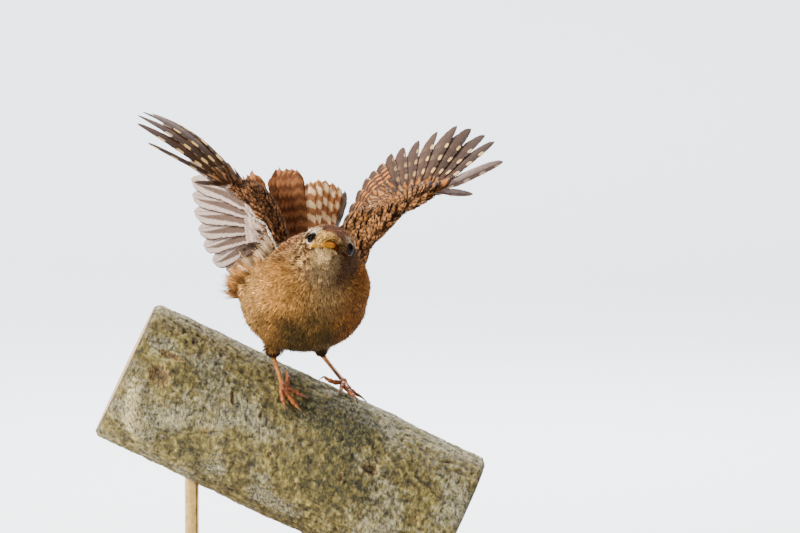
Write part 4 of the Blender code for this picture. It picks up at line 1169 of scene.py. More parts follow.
def head_markings(points):
    """Ground colours of the head, with painted shade on its left side, and how barred and how pale its
    feathers are.
    """
    left, forward, up = head_frame(points)
    side = np.abs(left)
    fleck = lumps(points, 1.1, 23)
    patch = lumps(points, 2.6, 24)
    # Painted shade: the head's left side is painted darker, and its pale brow, lore and chin fade there.
    shaded = smooth(1.0, 3.2, left)
    crown = smooth(0.6, 2.2, up + 0.25 * fleck)
    brow = smooth(0.9, 1.8, up) * smooth(3.9, 2.9, up) * smooth(3.2, 4.2, side) * smooth(-9, -5, forward)
    stripe = smooth(1.3, 0.5, np.abs(up - 0.2)) * smooth(-1.4, -2.6, forward)
    lore = smooth(0.4, 2.4, forward) * smooth(-3.6, -1.6, up) * smooth(0.5, -0.5, up - 2.1 + 0.17 * left)
    # The lore's pale fades towards the left side as painted shade.
    lore = lore * smooth(5.4, 3.4, side) * (0.95 - 0.85 * smooth(-0.6, 1.0, left))
    throat = smooth(-3.0, -5.6, up - 0.3 * (forward - 1) + 0.5 * fleck)
    throat = throat * smooth(5.6, 2.2, side + 0.5 * fleck)
    # The pale chin stays off the left side as painted shade.
    chin = throat * smooth(1.4, 4.0, forward) * smooth(1.5, 0.0, left)
    colour = layered(CHEEK_DARK, (CHEEK_PALE, smooth(-0.3, 0.35, fleck)), (CHEEK_DARK, shaded * 0.95),
                     (blend(CROWN, CROWN_FLECK, smooth(0.1, 0.7, fleck) * 0.6), crown),
                     (BROW, brow * smooth(-0.6, 0.2, fleck) * (0.95 - 0.5 * shaded)),
                     (UMBER, stripe * 0.75),
                     (blend(FOREHEAD, CHEEK_DARK, smooth(0.1, 0.5, fleck) * 0.5), lore),
                     (THROAT, throat * (0.95 - 0.3 * smooth(0.0, 0.6, patch))), (CHIN, chin * 0.8))
    bars = np.clip(0.45 * crown + 0.3 * (1 - throat), 0, 1)
    return colour * (1 + 0.12 * patch)[:, None], bars, np.clip(0.45 + 0.4 * throat - 0.3 * crown, 0, 1)


def markings(points, normals):
    """The plumage's ground colour at each point, its bars and its pale tips."""
    share = face_share(points)
    body, body_bars, body_tips = body_markings(points, normals)
    head, head_bars, head_tips = head_markings(points)
    x, y, z = points.T
    wedge = np.exp(-((x - 9.2) / (3.4 + 0.22 * np.clip(130 - z, 0, 20))) ** 2)
    neck = smooth(4.5, 0.5, x) * smooth(126.5, 132, z)
    streak = smooth(-0.7, 0.2, lumps(points * (1, 1, 0.6), 1.5, 25))
    fleck = smooth(0.15, 0.5, lumps(points * (1, 1, 0.6), 1.0, 26))
    body = layered(body, (THROAT, wedge * smooth(112, 124, z) * smooth(-12, -22, y) * 0.7),
                   (blend(OCHRE_DEEP, CHEEK_DARK, streak), neck * 0.9),
                   (CHEEK_PALE, neck * fleck * 0.55), (THIGH, leg_share(points, 104, 100.5)))
    return (blend(body, head, share), head_bars * share + body_bars * (1 - share),
            head_tips * share + body_tips * (1 - share))


def leg_share(points, high, low):
    """Near 1 round the thighs below low, and 0 above high."""
    x, y, z = points.T
    reach = np.minimum(*(np.hypot(x - ankle[0], y - ankle[1]) for ankle in ANKLES.values()))
    return smooth(high, low, z) * smooth(5.4, 3.4, reach)


# Flesh and skin
def welded_copy(nodes, names):
    """The named nodes' meshes in one object."""
    bm = bmesh.new()
    for name in names:
        bm.from_mesh(nodes[name].data)
    bmesh.ops.remove_doubles(bm, verts=bm.verts, dist=1e-6)
    return object_from("form", bm)


def settle(obj):
    """Keep what the modifiers make as the object's own mesh."""
    graph = bpy.context.evaluated_depsgraph_get()
    mesh = bpy.data.meshes.new_from_object(obj.evaluated_get(graph))
    obj.modifiers.clear()
    obj.data = mesh
    return obj


class Form:
    """The flesh's outer surface: its corners, normals and faces as arrays."""

    def __init__(self, obj):
        mesh = obj.data
        self.points = vertex_array(mesh) / MM
        normals = np.empty(len(mesh.vertices) * 3, np.float32)
        mesh.vertices.foreach_get("normal", normals)
        self.normals = normals.reshape(-1, 3).astype(float)
        mesh.calc_loop_triangles()
        corners = np.empty(len(mesh.loop_triangles) * 3, np.int32)
        mesh.loop_triangles.foreach_get("vertices", corners)
        self.triangles = corners.reshape(-1, 3)
        self.tree = BVHTree.FromPolygons([Vector(point) for point in self.points],
                                         [tuple(map(int, triangle)) for triangle in self.triangles])

    def nearest(self, points):
        """The nearest surface points and their normals."""
        places, normals = np.empty_like(points), np.empty_like(points)
        for index, point in enumerate(points):
            place, _, face, _ = self.tree.find_nearest(Vector(point))
            corners = self.triangles[face]
            places[index] = place
            normals[index] = self.normals[corners].mean(0)
        return places, unit(normals)

    def scatter(self, rng, density):
        """Random surface points and normals; density(points, normals) is in points per mm2."""
        a, b, c = (self.points[self.triangles[:, k]] for k in range(3))
        area = np.linalg.norm(np.cross(b - a, c - a), axis=1) / 2
        middle = (a + b + c) / 3
        expected = area * density(middle, self.normals[self.triangles].mean(1))
        counts = np.floor(expected + rng.random(len(expected))).astype(int)
        chosen = np.repeat(np.arange(len(counts)), counts)
        u, v = rng.random((2, len(chosen)))
        flip = u + v > 1
        u, v = np.where(flip, 1 - u, u)[:, None], np.where(flip, 1 - v, v)[:, None]
        points = a[chosen] * (1 - u - v) + b[chosen] * u + c[chosen] * v
        na, nb, nc = (self.normals[self.triangles[chosen, k]] for k in range(3))
        return points, unit(na * (1 - u - v) + nb * u + nc * v)


def fuse_form(obj, voxel, swell, rounds):
    """One closed, softened surface over all that the object holds."""
    grow = obj.modifiers.new("grow", "DISPLACE")
    grow.strength = swell * MM
    grow.mid_level = 0
    weld = obj.modifiers.new("weld", "REMESH")
    weld.mode = "VOXEL"
    weld.voxel_size = voxel * MM
    soften = obj.modifiers.new("soften", "SMOOTH")
    soften.iterations = rounds
    soften.factor = 0.5
    shrink = obj.modifiers.new("shrink", "DISPLACE")
    shrink.strength = -swell * MM
    shrink.mid_level = 0
    return settle(obj)


def near_features(points):
    """Near 1 round the eyes and the bill's root, where the skin keeps its place."""
    close = np.zeros(len(points))
    for side in (1, -1):
        centre, _ = eye_place(side)
        close = np.maximum(close, smooth(3.6, 2.6, np.linalg.norm(points - centre, axis=1)))
    root = head_point(0, BILL_BASE + 0.8, -1.7)
    return np.maximum(close, smooth(2.9, 2.0, np.linalg.norm(points - root, axis=1)))


def make_skin(nodes):
    """The skin under the coat, in one piece over head, neck, body and thighs."""
    skin = fuse_form(welded_copy(nodes, FLESH), FORM_VOXEL, FORM_SWELL, 14)
    skin.name = "skin"
    form = Form(skin)
    depth = coat_depth(form.points) * (1 - near_features(form.points))
    set_vertices(skin.data, form.points - form.normals * depth[:, None])
    colour, _, _ = markings(form.points, form.normals)
    # Painted shade between the feathers.
    paint(skin.data, "mark", colour * SKIN_SHADE)
    skin.data.shade_smooth()
    show(skin, plumage_material("skin_plumage", 0.25), "body_plumage", *FLESH)
    return form


def plumage_material(name, relief):
    """Soft plumage in the colours of the markings."""
    return painted_material(name, 0.85, (2600.0, 3.0, (1, 1, 0.5)), ((0.3, 0.8), (0.7, 1.15)),
                            (relief, 0.0001), Specular_IOR_Level=0.08)


# Coat
BLADE_MIDDLE = 0.66


def along_surface(ways, normals):
    """Ways turned until they lie along the surface."""
    return unit(ways - normals * np.sum(ways * normals, 1, keepdims=True))


def ruffled(rng, lies, normals, amount):
    """Ways along the surface, each turned a little at random."""
    return unit(lies + np.cross(normals, lies) * rng.normal(0, amount, (len(lies), 1)))


def lie_of(points, normals):
    """The way feathers lie: away from the bill, along the surface."""
    away = points - head_point(0, BILL_BASE + 1.6, -1.7)
    away = away + np.array((0, 0.22, -0.10)) * np.linalg.norm(away, axis=1, keepdims=True)
    return along_surface(away, normals)


def coat_lengths(points):
    """How long feathers are: shortest on the face, longest on flank and belly."""
    _, forward, up = head_frame(points)
    face = face_share(points)
    on_face = 1.0 + 1.3 * smooth(4, -6, forward) + 0.7 * smooth(-2, -6, up)
    on_body = 3.4 + 1.2 * smooth(120, 104, points[:, 2]) + 0.8 * smooth(-12, -18, points[:, 0])
    leg = leg_share(points, 102, 99)
    on_body = on_body * (1 - leg) + 2.4 * leg
    return on_face * face + on_body * (1 - face)


def coat_depth(points):
    """How deep under the form the coat is rooted."""
    depth = COAT_DEPTH + (FACE_DEPTH - COAT_DEPTH) * face_share(points)
    return np.where(points[:, 2] < LEG_TOP, FACE_DEPTH, depth)


# gap: how far each strand darkens towards its root, partly the feathers' dusky bases and partly painted
# shade between feathers.
BODY_STYLE = {"lie": lie_of, "length": coat_lengths, "colour": markings, "depth": coat_depth,
              "bar_at": 0.78, "gap": 0.78, "contrast": 0.34}


def strands(form, roots, normals, lies, lengths, width, depth, rng, count, lift=0.5, spread=0.75,
            wild=0.1):
    """Fans of strands that follow the form: points (feathers, count, 3, 3), with side directions.

    Each feather's strands start close together and end along a rounded tip.
    """
    fan = len(roots)
    middle, middle_normal = form.nearest(roots + lies * lengths[:, None] * BLADE_MIDDLE)
    end, end_normal = form.nearest(roots + lies * lengths[:, None])
    ahead = unit(end - roots)
    side = unit(np.cross(normals, ahead))
    own = np.linspace(-1, 1, count)[None] + rng.normal(0, 0.12, (fan, count))
    reach = 1 - 0.34 * own ** 2 - 0.16 * rng.random((fan, count))
    half = width * count * spread * own
    rise = lift * (0.35 + 0.65 * rng.random(fan)) * (1 - 0.6 * face_share(roots))
    stray = rng.normal(0, wild, (fan, count, 2)) * lengths[:, None, None]
    start = rng.random((fan, count)) * 0.35
    places = []
    for t, anchor, normal, height, along, widen in (
            (0.0, roots, normals, -depth, start, 0.35),
            (BLADE_MIDDLE, middle, middle_normal, rise * 0.78,
             (reach - 1) * BLADE_MIDDLE * lengths[:, None], 0.95),
            (1.0, end, end_normal, rise * 1.25, (reach - 1) * lengths[:, None], 1.05)):
        across = half * widen + stray[..., 0] * t
        above = height[:, None] + stray[..., 1] * t * 0.6
        places.append(anchor[:, None] + ahead[:, None] * along[..., None]
                      + side[:, None] * across[..., None] + normal[:, None] * above[..., None])
    return np.stack(places, 2), side


# A closed blade: two rings of three corners and a tip, with a UV place for each corner
BLADE_FACES = np.array(((2, 1, 0, -1), (0, 1, 4, 3), (1, 2, 5, 4), (2, 0, 3, 5), (3, 4, 6, -1),
                        (4, 5, 6, -1), (5, 3, 6, -1)))
BLADE_FLAT = np.array([(0.1, 0.0), (0.9, 0.0), (0.5, 0.1), (0.0, 0.6), (1.0, 0.6), (0.5, 0.6), (0.5, 1.0)])
BLADE_REACH = np.array((0,) * 3 + (BLADE_MIDDLE,) * 3 + (1.0,))
BLADE_THICKNESS = 0.05
PATCH = 0.003


def blade_points(places, side, normals, width):
    """Corners of blades along places (..., 3, 3): two rings of three corners and a tip."""
    rings = []
    for ring, share in enumerate((0.8, 1.0)):
        half = (width * share)[..., None] / 2
        middle = places[..., ring, :]
        rings += [middle - side * half, middle + side * half, middle + normals * BLADE_THICKNESS]
    rings.append(places[..., 2, :])
    return np.stack(rings, -2)


def sphere_map(points, centre):
    """Each point's place on an unwrap of the skin round a centre."""
    ray = unit(points - centre)
    return np.stack([0.5 + np.arctan2(ray[:, 0], -ray[:, 1]) / (2 * math.pi) * 0.98,
                     0.5 + np.arcsin(np.clip(ray[:, 2], -1, 1)) / math.pi * 0.98], -1)


def blade_colours(rng, colour, bars, tips, fan, count, style):
    """Each blade's colours from root to tip, darker towards the root with the feathers' dusky bases and
    painted shade, with bars and pale tips by feather.
    """
    contrast = style["contrast"]
    shade = np.exp(rng.normal(0, contrast * 1.2, (fan, 1, 1)) + rng.normal(0, contrast, (fan, count, 1)))
    t = BLADE_REACH[None, None, :]
    # Darker towards the root: partly dusky feather bases, partly painted shade in the gaps between feathers.
    dark = 1 - (1 - smooth(0.1, 0.75, t)) * style["gap"]
    marked = rng.random((fan, 1, 1)) < bars[:, None, None] * 0.75
    bar = marked * np.exp(-((t - style["bar_at"]) / 0.16) ** 2) * 0.62
    pale = rng.random((fan, count, 1)) < tips[:, None, None] * 0.6
    pale = (pale * smooth(0.7, 1.0, t) * 0.42)[..., None]
    value = (shade * dark * (1 - bar))[..., None] * colour[:, None, None]
    return value * (1 - pale) + np.minimum(colour * 1.9, 0.75)[:, None, None] * pale


def make_coat(name, form, keep, density, count, width, centre, rng, material, lift=0.5, wild=0.1,
              style=BODY_STYLE, spread=0.75):
    """One piece of the coat over the part of the form that keep() gives."""
    roots, normals = form.scatter(rng, lambda points, _: density * keep(points))
    hidden = near_features(roots) > 0.6
    roots, normals = roots[~hidden], normals[~hidden]
    lies = ruffled(rng, style["lie"](roots, normals), normals, 0.13)
    lengths = style["length"](roots) * (0.8 + 0.4 * rng.random(len(roots)))
    places, side = strands(form, roots, normals, lies, lengths, width, style["depth"](roots), rng,
                           count, lift, spread, wild)
    colour, bars, tips = style["colour"](roots, normals)
    fan = len(roots)
    strand_width = width * (0.7 + 0.6 * rng.random((fan, count)))
    return coat_mesh(name, places, side, normals, strand_width,
                     blade_colours(rng, colour, bars, tips, fan, count, style),
                     sphere_map(roots, np.array(centre)), material)


def coat_mesh(name, places, side, normals, strand_width, colours, patches, material):
    """Join blades along the strands' places into one piece of the coat."""
    fan, count = places.shape[:2]
    points = blade_points(places, side[:, None], normals[:, None], strand_width)
    first = np.arange(fan * count)[:, None, None] * len(BLADE_FLAT)
    every = np.where(BLADE_FACES >= 0, BLADE_FACES + first, -1)
    uv = np.repeat(patches, count, 0)[:, None] + (BLADE_FLAT[None] - 0.5) * PATCH
    coat = object_from_arrays(name, points.reshape(-1, 3), every.reshape(-1, 4),
                              {"OFBake": uv.reshape(-1, 2)}, {"mark": colours.reshape(-1, 3)})
    show(coat, material, "body_plumage")
    return coat


def on_shoulders(p):
    """The neck's sides and back, the shoulders and the back, as far as the rump."""
    above = (face_share(p) <= 0.5) & (p[:, 2] > 114) & (p[:, 1] >= -12)
    return above & ((p[:, 2] > 124) | (p[:, 1] >= -6)) & ((p[:, 1] < -2) | (p[:, 2] > 118))


COAT_PIECES = (
    # name, where it grows, feathers per mm2, strands, strand width, centre of its unwrap, lift, wild
    ("coat_face", lambda p: (face_share(p) > 0.5) & (head_frame(p)[1] > -3.5), 5.5, 5, 0.13,
     (9.5, -27, 135), 0.45, 0.08),
    ("coat_crown", lambda p: (face_share(p) > 0.5) & (head_frame(p)[1] <= -3.5), 4.5, 5, 0.15,
     (9.5, -27, 135), 0.5, 0.08),
    ("coat_throat", lambda p: (face_share(p) <= 0.5) & (p[:, 2] > 124) & (p[:, 1] < -12), 2.6, 7, 0.19,
     (6, -16, 124), 0.7, 0.11),
    ("coat_breast", lambda p: (p[:, 2] <= 124) & (p[:, 2] > 114) & (p[:, 1] < -6), 2.3, 8, 0.23,
     (2, -8, 117), 0.85, 0.13),
    ("coat_belly", lambda p: (p[:, 2] <= 114) & (p[:, 2] > 107) & (p[:, 1] < -2), 2.3, 8, 0.23,
     (2, -8, 117), 0.85, 0.13),
    ("coat_vent", lambda p: (p[:, 2] <= 107) & (p[:, 2] > 101) & (p[:, 1] < -2), 2.3, 8, 0.23,
     (2, -8, 117), 0.85, 0.13),
    ("coat_rear", lambda p: (p[:, 2] <= 118) & (p[:, 2] > 101) & (p[:, 1] >= -2), 1.2, 9, 0.22,
     (2, -8, 117), 0.5, 0.10),
    ("coat_legs", lambda p: p[:, 2] <= 101, 2.0, 6, 0.16, (2, -2, 104), 0.35, 0.12),
    ("coat_shoulders", lambda p: on_shoulders(p) & (p[:, 1] < 4), 1.4, 9, 0.2, (2, 0, 120), 0.5, 0.10),
    ("coat_mantle", lambda p: on_shoulders(p) & (p[:, 1] >= 4), 1.4, 9, 0.2, (2, 0, 120), 0.5, 0.10),
)


def make_coats(form):
    """All the coat's pieces over the body and the head."""
    material = plumage_material("coat_plumage", 0.2)
    for index, (name, keep, density, count, width, centre, lift, wild) in enumerate(COAT_PIECES):
        rng = np.random.default_rng(SEED * 10 + index)
        make_coat(name, form, keep, density, count, width, centre, rng, material, lift, wild)
    return material


# Bill
GAPE_YELLOW = linear(126, 92, 20)
GAPE_ORANGE = linear(150, 84, 20)
# Painted shade for the gape's left side.
GAPE_SHADE = linear(44, 18, 6)
GAPE_ROOT = linear(110, 66, 26)
GAPE_PLACES = ((2.1, 5.4, -1.9), (2.9, 4.0, -2.1), (3.7, 2.7, -2.3), (4.5, 1.4, -2.7))
HORN_ABOVE = linear(108, 62, 14)
HORN_BELOW = linear(116, 74, 16)
HORN_RIDGE = linear(66, 34, 14)
# Painted shade for the bill's left side.
HORN_SHADE = linear(46, 12, 2)
HORN_TIP = linear(64, 36, 20)
NOSTRIL_DARK = linear(46, 26, 14)
NOSTRIL_FORWARD = 6.9


def mandible(name, depths, sense):
    """Half of the bill, above the mouth line for sense 1 and below it for -1."""
    bm = unit_tube(BILL_SIDES, BILL_RINGS)
    bmesh.ops.recalc_face_normals(bm, faces=bm.faces)
    piece = object_from(name, bm)
    start = vertex_array(piece.data)
    t = start[:, 2] + 0.5
    angle = np.arctan2(start[:, 1], start[:, 0])
    width, depth, droop = (np.interp(t, BILL_STATIONS, values)
                           for values in (BILL_HALF_WIDTHS, depths, BILL_DROOP))
    forward = BILL_BASE + (BILL_TIP - BILL_BASE) * t
    rise = np.sin(angle)
    full = np.where(rise > 0, np.abs(rise) ** 0.85, rise * 0.12)
    side = width * np.cos(angle) * (1 - 0.06 * np.clip(rise, 0, 1)) + BILL_TURN * t
    up = droop + sense * (0.1 + depth * full)
    nostril = np.zeros_like(t)
    if sense > 0:
        nostril, groove = nostril_shares(forward, up - droop)
        side = side * (1 - 0.14 * nostril) * (1 - 0.05 * groove)
    set_vertices(piece.data, head_point(side, forward, up))
    if sense < 0:
        piece.data.flip_normals()
    ridge = smooth(0.45, 0.95, rise) * (sense > 0)
    colour = bill_colours(side - BILL_TURN * t, t, ridge, sense)
    paint(piece.data, "mark", blend(colour, NOSTRIL_DARK, nostril * 0.9))
    return piece


def nostril_shares(forward, height):
    """How far points are in the nostril's slit and in the groove that it lies in."""
    off = np.sqrt(((forward - NOSTRIL_FORWARD) / 0.85) ** 2 + ((height - 0.95) / 0.3) ** 2)
    groove = np.exp(-((height - 1.0) / 0.3) ** 2)
    return smooth(1.25, 0.6, off), groove * smooth(5, 6, forward) * smooth(10.5, 8.5, forward)


def bill_colours(side, t, ridge, sense):
    """Orange-yellow horn with a yellow edge, a dark ridge, painted shade on its left side and a darker tip.
    """
    horn = np.tile(HORN_ABOVE if sense > 0 else HORN_BELOW, (len(t), 1))
    # The left side, away from the key light, is painted dark as shade.
    return layered(horn, (HORN_RIDGE, ridge * 0.85), (HORN_SHADE, smooth(-0.05, 0.3, side) * 0.95),
                   (HORN_TIP, smooth(0.7, 1.0, t) * 0.7),
                   (GAPE_YELLOW, smooth(0.3, 0.0, t) * smooth(0.3, -0.2, side) * 0.7))


def horn_material(name, roughness, coat):
    """Horn in the colours painted on its mesh, with a fine grain."""
    return painted_material(name, roughness, (1800.0, 4.0), ((0.3, 0.84), (0.7, 1.1)), (0.2, 0.00008),
                            Coat_Weight=coat, Coat_Roughness=0.15, Specular_IOR_Level=0.0)


def make_gape(form, horn):
    """The soft yellow corners of the mouth, running back from the bill under the eyes, with painted shade on
    the left one.
    """
    bm = bmesh.new()
    for sense in (-1, 1):
        places = [head_point(side * sense, forward, up)[None] for side, forward, up in GAPE_PLACES]
        path = [place[0] + normal[0] * 0.7 for place, normal in map(form.nearest, places)]
        tube_along(bm, curve_points(path, 30), sampled(30, (0, 0.4, 1), (0.8, 0.6, 0.15)), 12)
    gape = object_from("gape", bm)
    points = vertex_array(gape.data) / MM
    left, forward, _ = head_frame(points)
    fleck = lumps(points, 0.8, 33)
    colour = layered(GAPE_YELLOW, (GAPE_ORANGE, smooth(0.0, 0.7, fleck) * 0.5),
                     # painted shade on the left side
                     (GAPE_SHADE, smooth(-0.5, 1, left)), (GAPE_ROOT, smooth(2.6, 1.4, forward) * 0.7))
    paint(gape.data, "mark", colour)
    show(gape, horn, "bill_horn")


def make_bill(form):
    """The bill's two halves and the corners of the mouth."""
    horn = horn_material("bill_horn", 0.65, 0.0)
    make_gape(form, horn)
    show(mandible("bill_above", BILL_UPPER_DEPTHS, 1), horn, "bill_horn", "bill_upper")
    show(mandible("bill_below", BILL_LOWER_DEPTHS, -1), horn, "bill_horn", "bill_lower")


# Eyes
PUPIL = linear(5, 4, 4)
IRIS = linear(26, 15, 9)
LID_DARK = linear(58, 38, 24)
LID_PALE = linear(196, 180, 150)


def look_matrix(centre, look):
    """The placing that turns Z to look, at a centre."""
    turn = Vector(look).to_track_quat("Z", "Y").to_matrix().to_4x4()
    return Matrix.Translation(Vector(centre) * MM) @ turn


def make_eyes():
    """Wet dark eyes with a brown iris, in broken pale rings of lid."""
    eye_material = wet_eye_material()
    lid_material = horn_material("lid_skin", 0.6, 0.0)
    for side, name in ((1, "left"), (-1, "right")):
        centre, look = eye_place(side)
        bm = bmesh.new()
        bmesh.ops.create_uvsphere(bm, u_segments=48, v_segments=32, radius=EYE_RADIUS * MM,
                                  matrix=look_matrix(centre, look))
        eye = object_from(f"eyeball_{name}", bm)
        points = vertex_array(eye.data) / MM
        off = np.degrees(np.arccos(np.clip(unit(points - centre) @ look, -1, 1)))
        iris = smooth(34, 37, off) * smooth(62, 56, off)
        paint(eye.data, "mark", blend(PUPIL, IRIS, iris))
        show(eye, eye_material, "eye", f"eye_{name}")
        show(lid_ring(side, name, centre, look), lid_material, "leg_skin")


def wet_eye_material():
    """A dark ball under a clear wet layer."""
    return painted_material("wet_eye", 0.3, (3200.0, 2.0), ((0.3, 0.7), (0.7, 1.3)),
                            Specular_IOR_Level=0.0, Coat_Weight=0.14, Coat_Roughness=0.04)


def lid_ring(side, name, centre, look):
    """The eye's rim: a soft ring, thicker below, beaded like small feathers."""
    bm = bmesh.new()
    place = Matrix.Translation((LID_RADIUS * MM, 0, 0)) @ Matrix.Rotation(math.pi / 2, 4, "X")
    bmesh.ops.create_circle(bm, segments=12, radius=LID_THICKNESS * MM, matrix=place)
    bmesh.ops.spin(bm, geom=list(bm.verts) + list(bm.edges), axis=(0, 0, 1), cent=(0, 0, 0),
                   angle=2 * math.pi, steps=96, use_merge=True)
    bmesh.ops.remove_doubles(bm, verts=bm.verts, dist=1e-7)
    bmesh.ops.recalc_face_normals(bm, faces=bm.faces)
    lid = object_from(f"lid_{name}", bm)
    flat = vertex_array(lid.data) / MM
    turn = np.arctan2(flat[:, 1], flat[:, 0])
    middle = np.stack([np.cos(turn), np.sin(turn), np.zeros(len(turn))], 1) * LID_RADIUS
    matrix = np.array(look_matrix((0, 0, 0), look).to_3x3())
    ring = middle @ matrix.T
    up = ring @ HEAD_UP / LID_RADIUS
    ahead = ring @ HEAD_FORWARD / LID_RADIUS
    beads = 0.12 * np.sin(turn * 17) + 0.1 * np.sin(turn * 29 + side)
    thick = 1.0 + (0.7 if side < 0 else 0.1) * smooth(0.2, -0.8, up) + beads
    height = math.sqrt(EYE_RADIUS ** 2 - (LID_RADIUS * 0.92) ** 2)
    points = centre + (middle + (flat - middle) * thick[:, None]) @ matrix.T + look * height
    set_vertices(lid.data, points)
    pale = smooth(-0.35, 0.25, np.abs(up) + 0.25 * np.sin(turn * 9) - 0.35 * smooth(0.3, 0.9, np.abs(ahead)))
    pale = pale * (1.0 if side < 0 else 0.4)
    paint(lid.data, "mark", blend(LID_DARK, LID_PALE, pale))
    return lid


# Legs
SHANK = linear(158, 100, 42)
SHANK_DULL = linear(118, 66, 26)
TOE = linear(136, 70, 30)
TOE_DULL = linear(80, 39, 19)
HEEL = linear(96, 50, 22)
CLAW_ROOT = linear(110, 78, 56)
CLAW_TIP = linear(52, 38, 30)
TARSUS_RINGS = 60
TOE_RINGS = 44
CLAW_RINGS = 26
TARSUS_PLATES = (15, 0.09)
TOE_PLATES = (11, 0.12)


def sampled(count, stations, values):
    """Values between stations from 0 to 1, at evenly spaced places."""
    return np.interp(np.linspace(0, 1, count), stations, values)


def tube_along(bm, path, radii, sides, plates=0, depth=0.0):
    """Add a closed tube along a path, with overlapping plates across it if it has any."""
    tube = unit_tube(sides, len(path) - 1)
    ahead = unit(np.gradient(path, axis=0))
    side = unit(np.cross(ahead, (0.35, -0.2, 0.9)))
    over = np.cross(ahead, side)
    for vert in tube.verts:
        t = vert.co.z + 0.5
        index = round(t * (len(path) - 1))
        angle = math.atan2(vert.co.y, vert.co.x)
        radius = radii[index] * (1 + depth * ((t * plates) % 1) - depth * 0.5)
        turned = side[index] * math.cos(angle) + over[index] * math.sin(angle)
        vert.co = Vector((path[index] + turned * radius) * MM)
    bmesh.ops.recalc_face_normals(tube, faces=tube.faces)
    mesh = bpy.data.meshes.new("tube")
    tube.to_mesh(mesh)
    tube.free()
    bm.from_mesh(mesh)
    bpy.data.meshes.remove(mesh)


def make_legs():
    """Scaled tarsi and toes, and curved claws."""
    scaly = leg_material()
    horn = horn_material("claw_horn", 0.35, 0.2)
    for side in ("left", "right"):
        ankle = np.array(ANKLES[side])
        foot = perch_point(*FOOT_PLACES[side])
        bm = bmesh.new()
        path = np.array([ankle + (foot - ankle) * t for t in np.linspace(-0.05, 1, TARSUS_RINGS)])
        radii = sampled(TARSUS_RINGS, (0, 0.12, 0.5, 0.88, 1), TARSUS_RADII)
        tube_along(bm, path, radii, 20, *TARSUS_PLATES)
        tarsus = object_from(f"shank_{side}", bm)
        paint_leg(tarsus, False)
        show(tarsus, scaly, "leg_skin", f"tarsus_{side}")
        feet = bmesh.new()
        drop = unit(foot - ankle)
        palm_place = Matrix.Translation(Vector((foot + drop * 0.3) * MM))
        bmesh.ops.create_icosphere(feet, subdivisions=4, radius=1.2 * MM, matrix=palm_place)
        for toe in TOES[side]:
            make_toe(feet, side, toe, foot + drop * 0.58, horn)
        toes = object_from(f"toes_{side}", feet)
        paint_leg(toes, True)
        show(toes, scaly, "leg_skin", f"foot_{side}")


def make_toe(feet, side, toe, start, horn):
    """A jointed, scaled toe with pads below, and its claw."""
    knuckle, pad, end, tip = (perch_point(*place) for place in TOES[side][toe])
    path = curve_points([start, knuckle, pad, end], TOE_RINGS)
    radii = sampled(TOE_RINGS, (0, 0.33, 0.66, 1), TOE_RADII)
    joints = 1 + 0.12 * np.cos(np.linspace(0, 1, TOE_RINGS) * 2 * math.pi * 3)
    tube_along(feet, path, radii * joints, 16, *TOE_PLATES)
    ahead = unit(path[-1] - path[-2])
    root = end - ahead * 0.25
    crook = root + ahead * np.linalg.norm(tip - root) * CLAW_REACH
    claw = bmesh.new()
    claw_path = curve_points([root, crook, tip], CLAW_RINGS)
    tube_along(claw, claw_path, sampled(CLAW_RINGS, (0, 0.4, 1), CLAW_RADII), 14)
    piece = object_from(f"nail_{side}_{toe}", claw)
    points = vertex_array(piece.data) / MM
    share = np.clip(np.linalg.norm(points - root, axis=1) / np.linalg.norm(tip - root), 0, 1)
    paint(piece.data, "mark", blend(CLAW_ROOT, CLAW_TIP, smooth(0.1, 0.9, share)))
    show(piece, horn, "claw_horn", f"claw_{side}_{toe}")


def paint_leg(piece, on_toes):
    """Yellow-orange shanks and redder toes, darker underneath."""
    points = vertex_array(piece.data) / MM
    fleck = lumps(points, 0.9, 31)
    dull = smooth(-0.4, 0.6, fleck)
    redder = 1.0 if on_toes else smooth(90, 84, points[:, 2])
    colour = layered(SHANK, (SHANK_DULL, dull), (blend(TOE, TOE_DULL, dull), redder * 0.85),
                     (HEEL, smooth(95, 99, points[:, 2]) * 0.6))
    paint(piece.data, "mark", colour)


def leg_material():
    """Scaled skin in the colours painted on its mesh, varied by a fine grain."""
    return painted_material("scaly_skin", 0.5, (2600.0, 4.0), ((0.3, 0.74), (0.55, 1.0), (0.75, 1.22)),
                            (0.35, 0.0001), Coat_Weight=0.06, Coat_Roughness=0.3,
                            Specular_IOR_Level=0.2)


# Arms
ARM_DARK = linear(54, 33, 18)
ARM_OCHRE = linear(148, 92, 36)
ARM_CREAM = linear(190, 158, 108)
ARM_BROWN = linear(92, 56, 26)
UNDER_MAUVE = linear(160, 136, 120)
UNDER_DUSK = linear(84, 66, 56)
SCALE_CELLS = (3, 7)
SCALE_THICKNESS = 0.1


def arm_form(name):
    """The arm with the fold of skin from shoulder to wrist."""
    inner, shoulder, elbow, wrist, tip = np.array(ARM_JOINTS[name], float)
    bm = bmesh.new()
    path = curve_points([inner, shoulder, elbow, wrist, tip], 60)
    tube_along(bm, path, sampled(60, np.linspace(0, 1, 5), ARM_RADII[name]), 20)
    front = (shoulder + wrist) / 2
    for share in (0.35, 0.7, 1.0):
        fold = curve_points([shoulder, elbow + (front - elbow) * share, wrist], 30)
        tube_along(bm, fold, np.full(30, 1.7 - 0.4 * share), 14)
    for places, radius in ARM_FOLDS[name]:
        tube_along(bm, curve_points(np.array(places, float), 40), np.full(40, radius), 16)
    side = name.split("_")[1]
    obj = fuse_form(object_from(f"arm_{side}", bm), 0.5, 0.0, 8)
    obj.name = f"arm_{side}"
    return obj


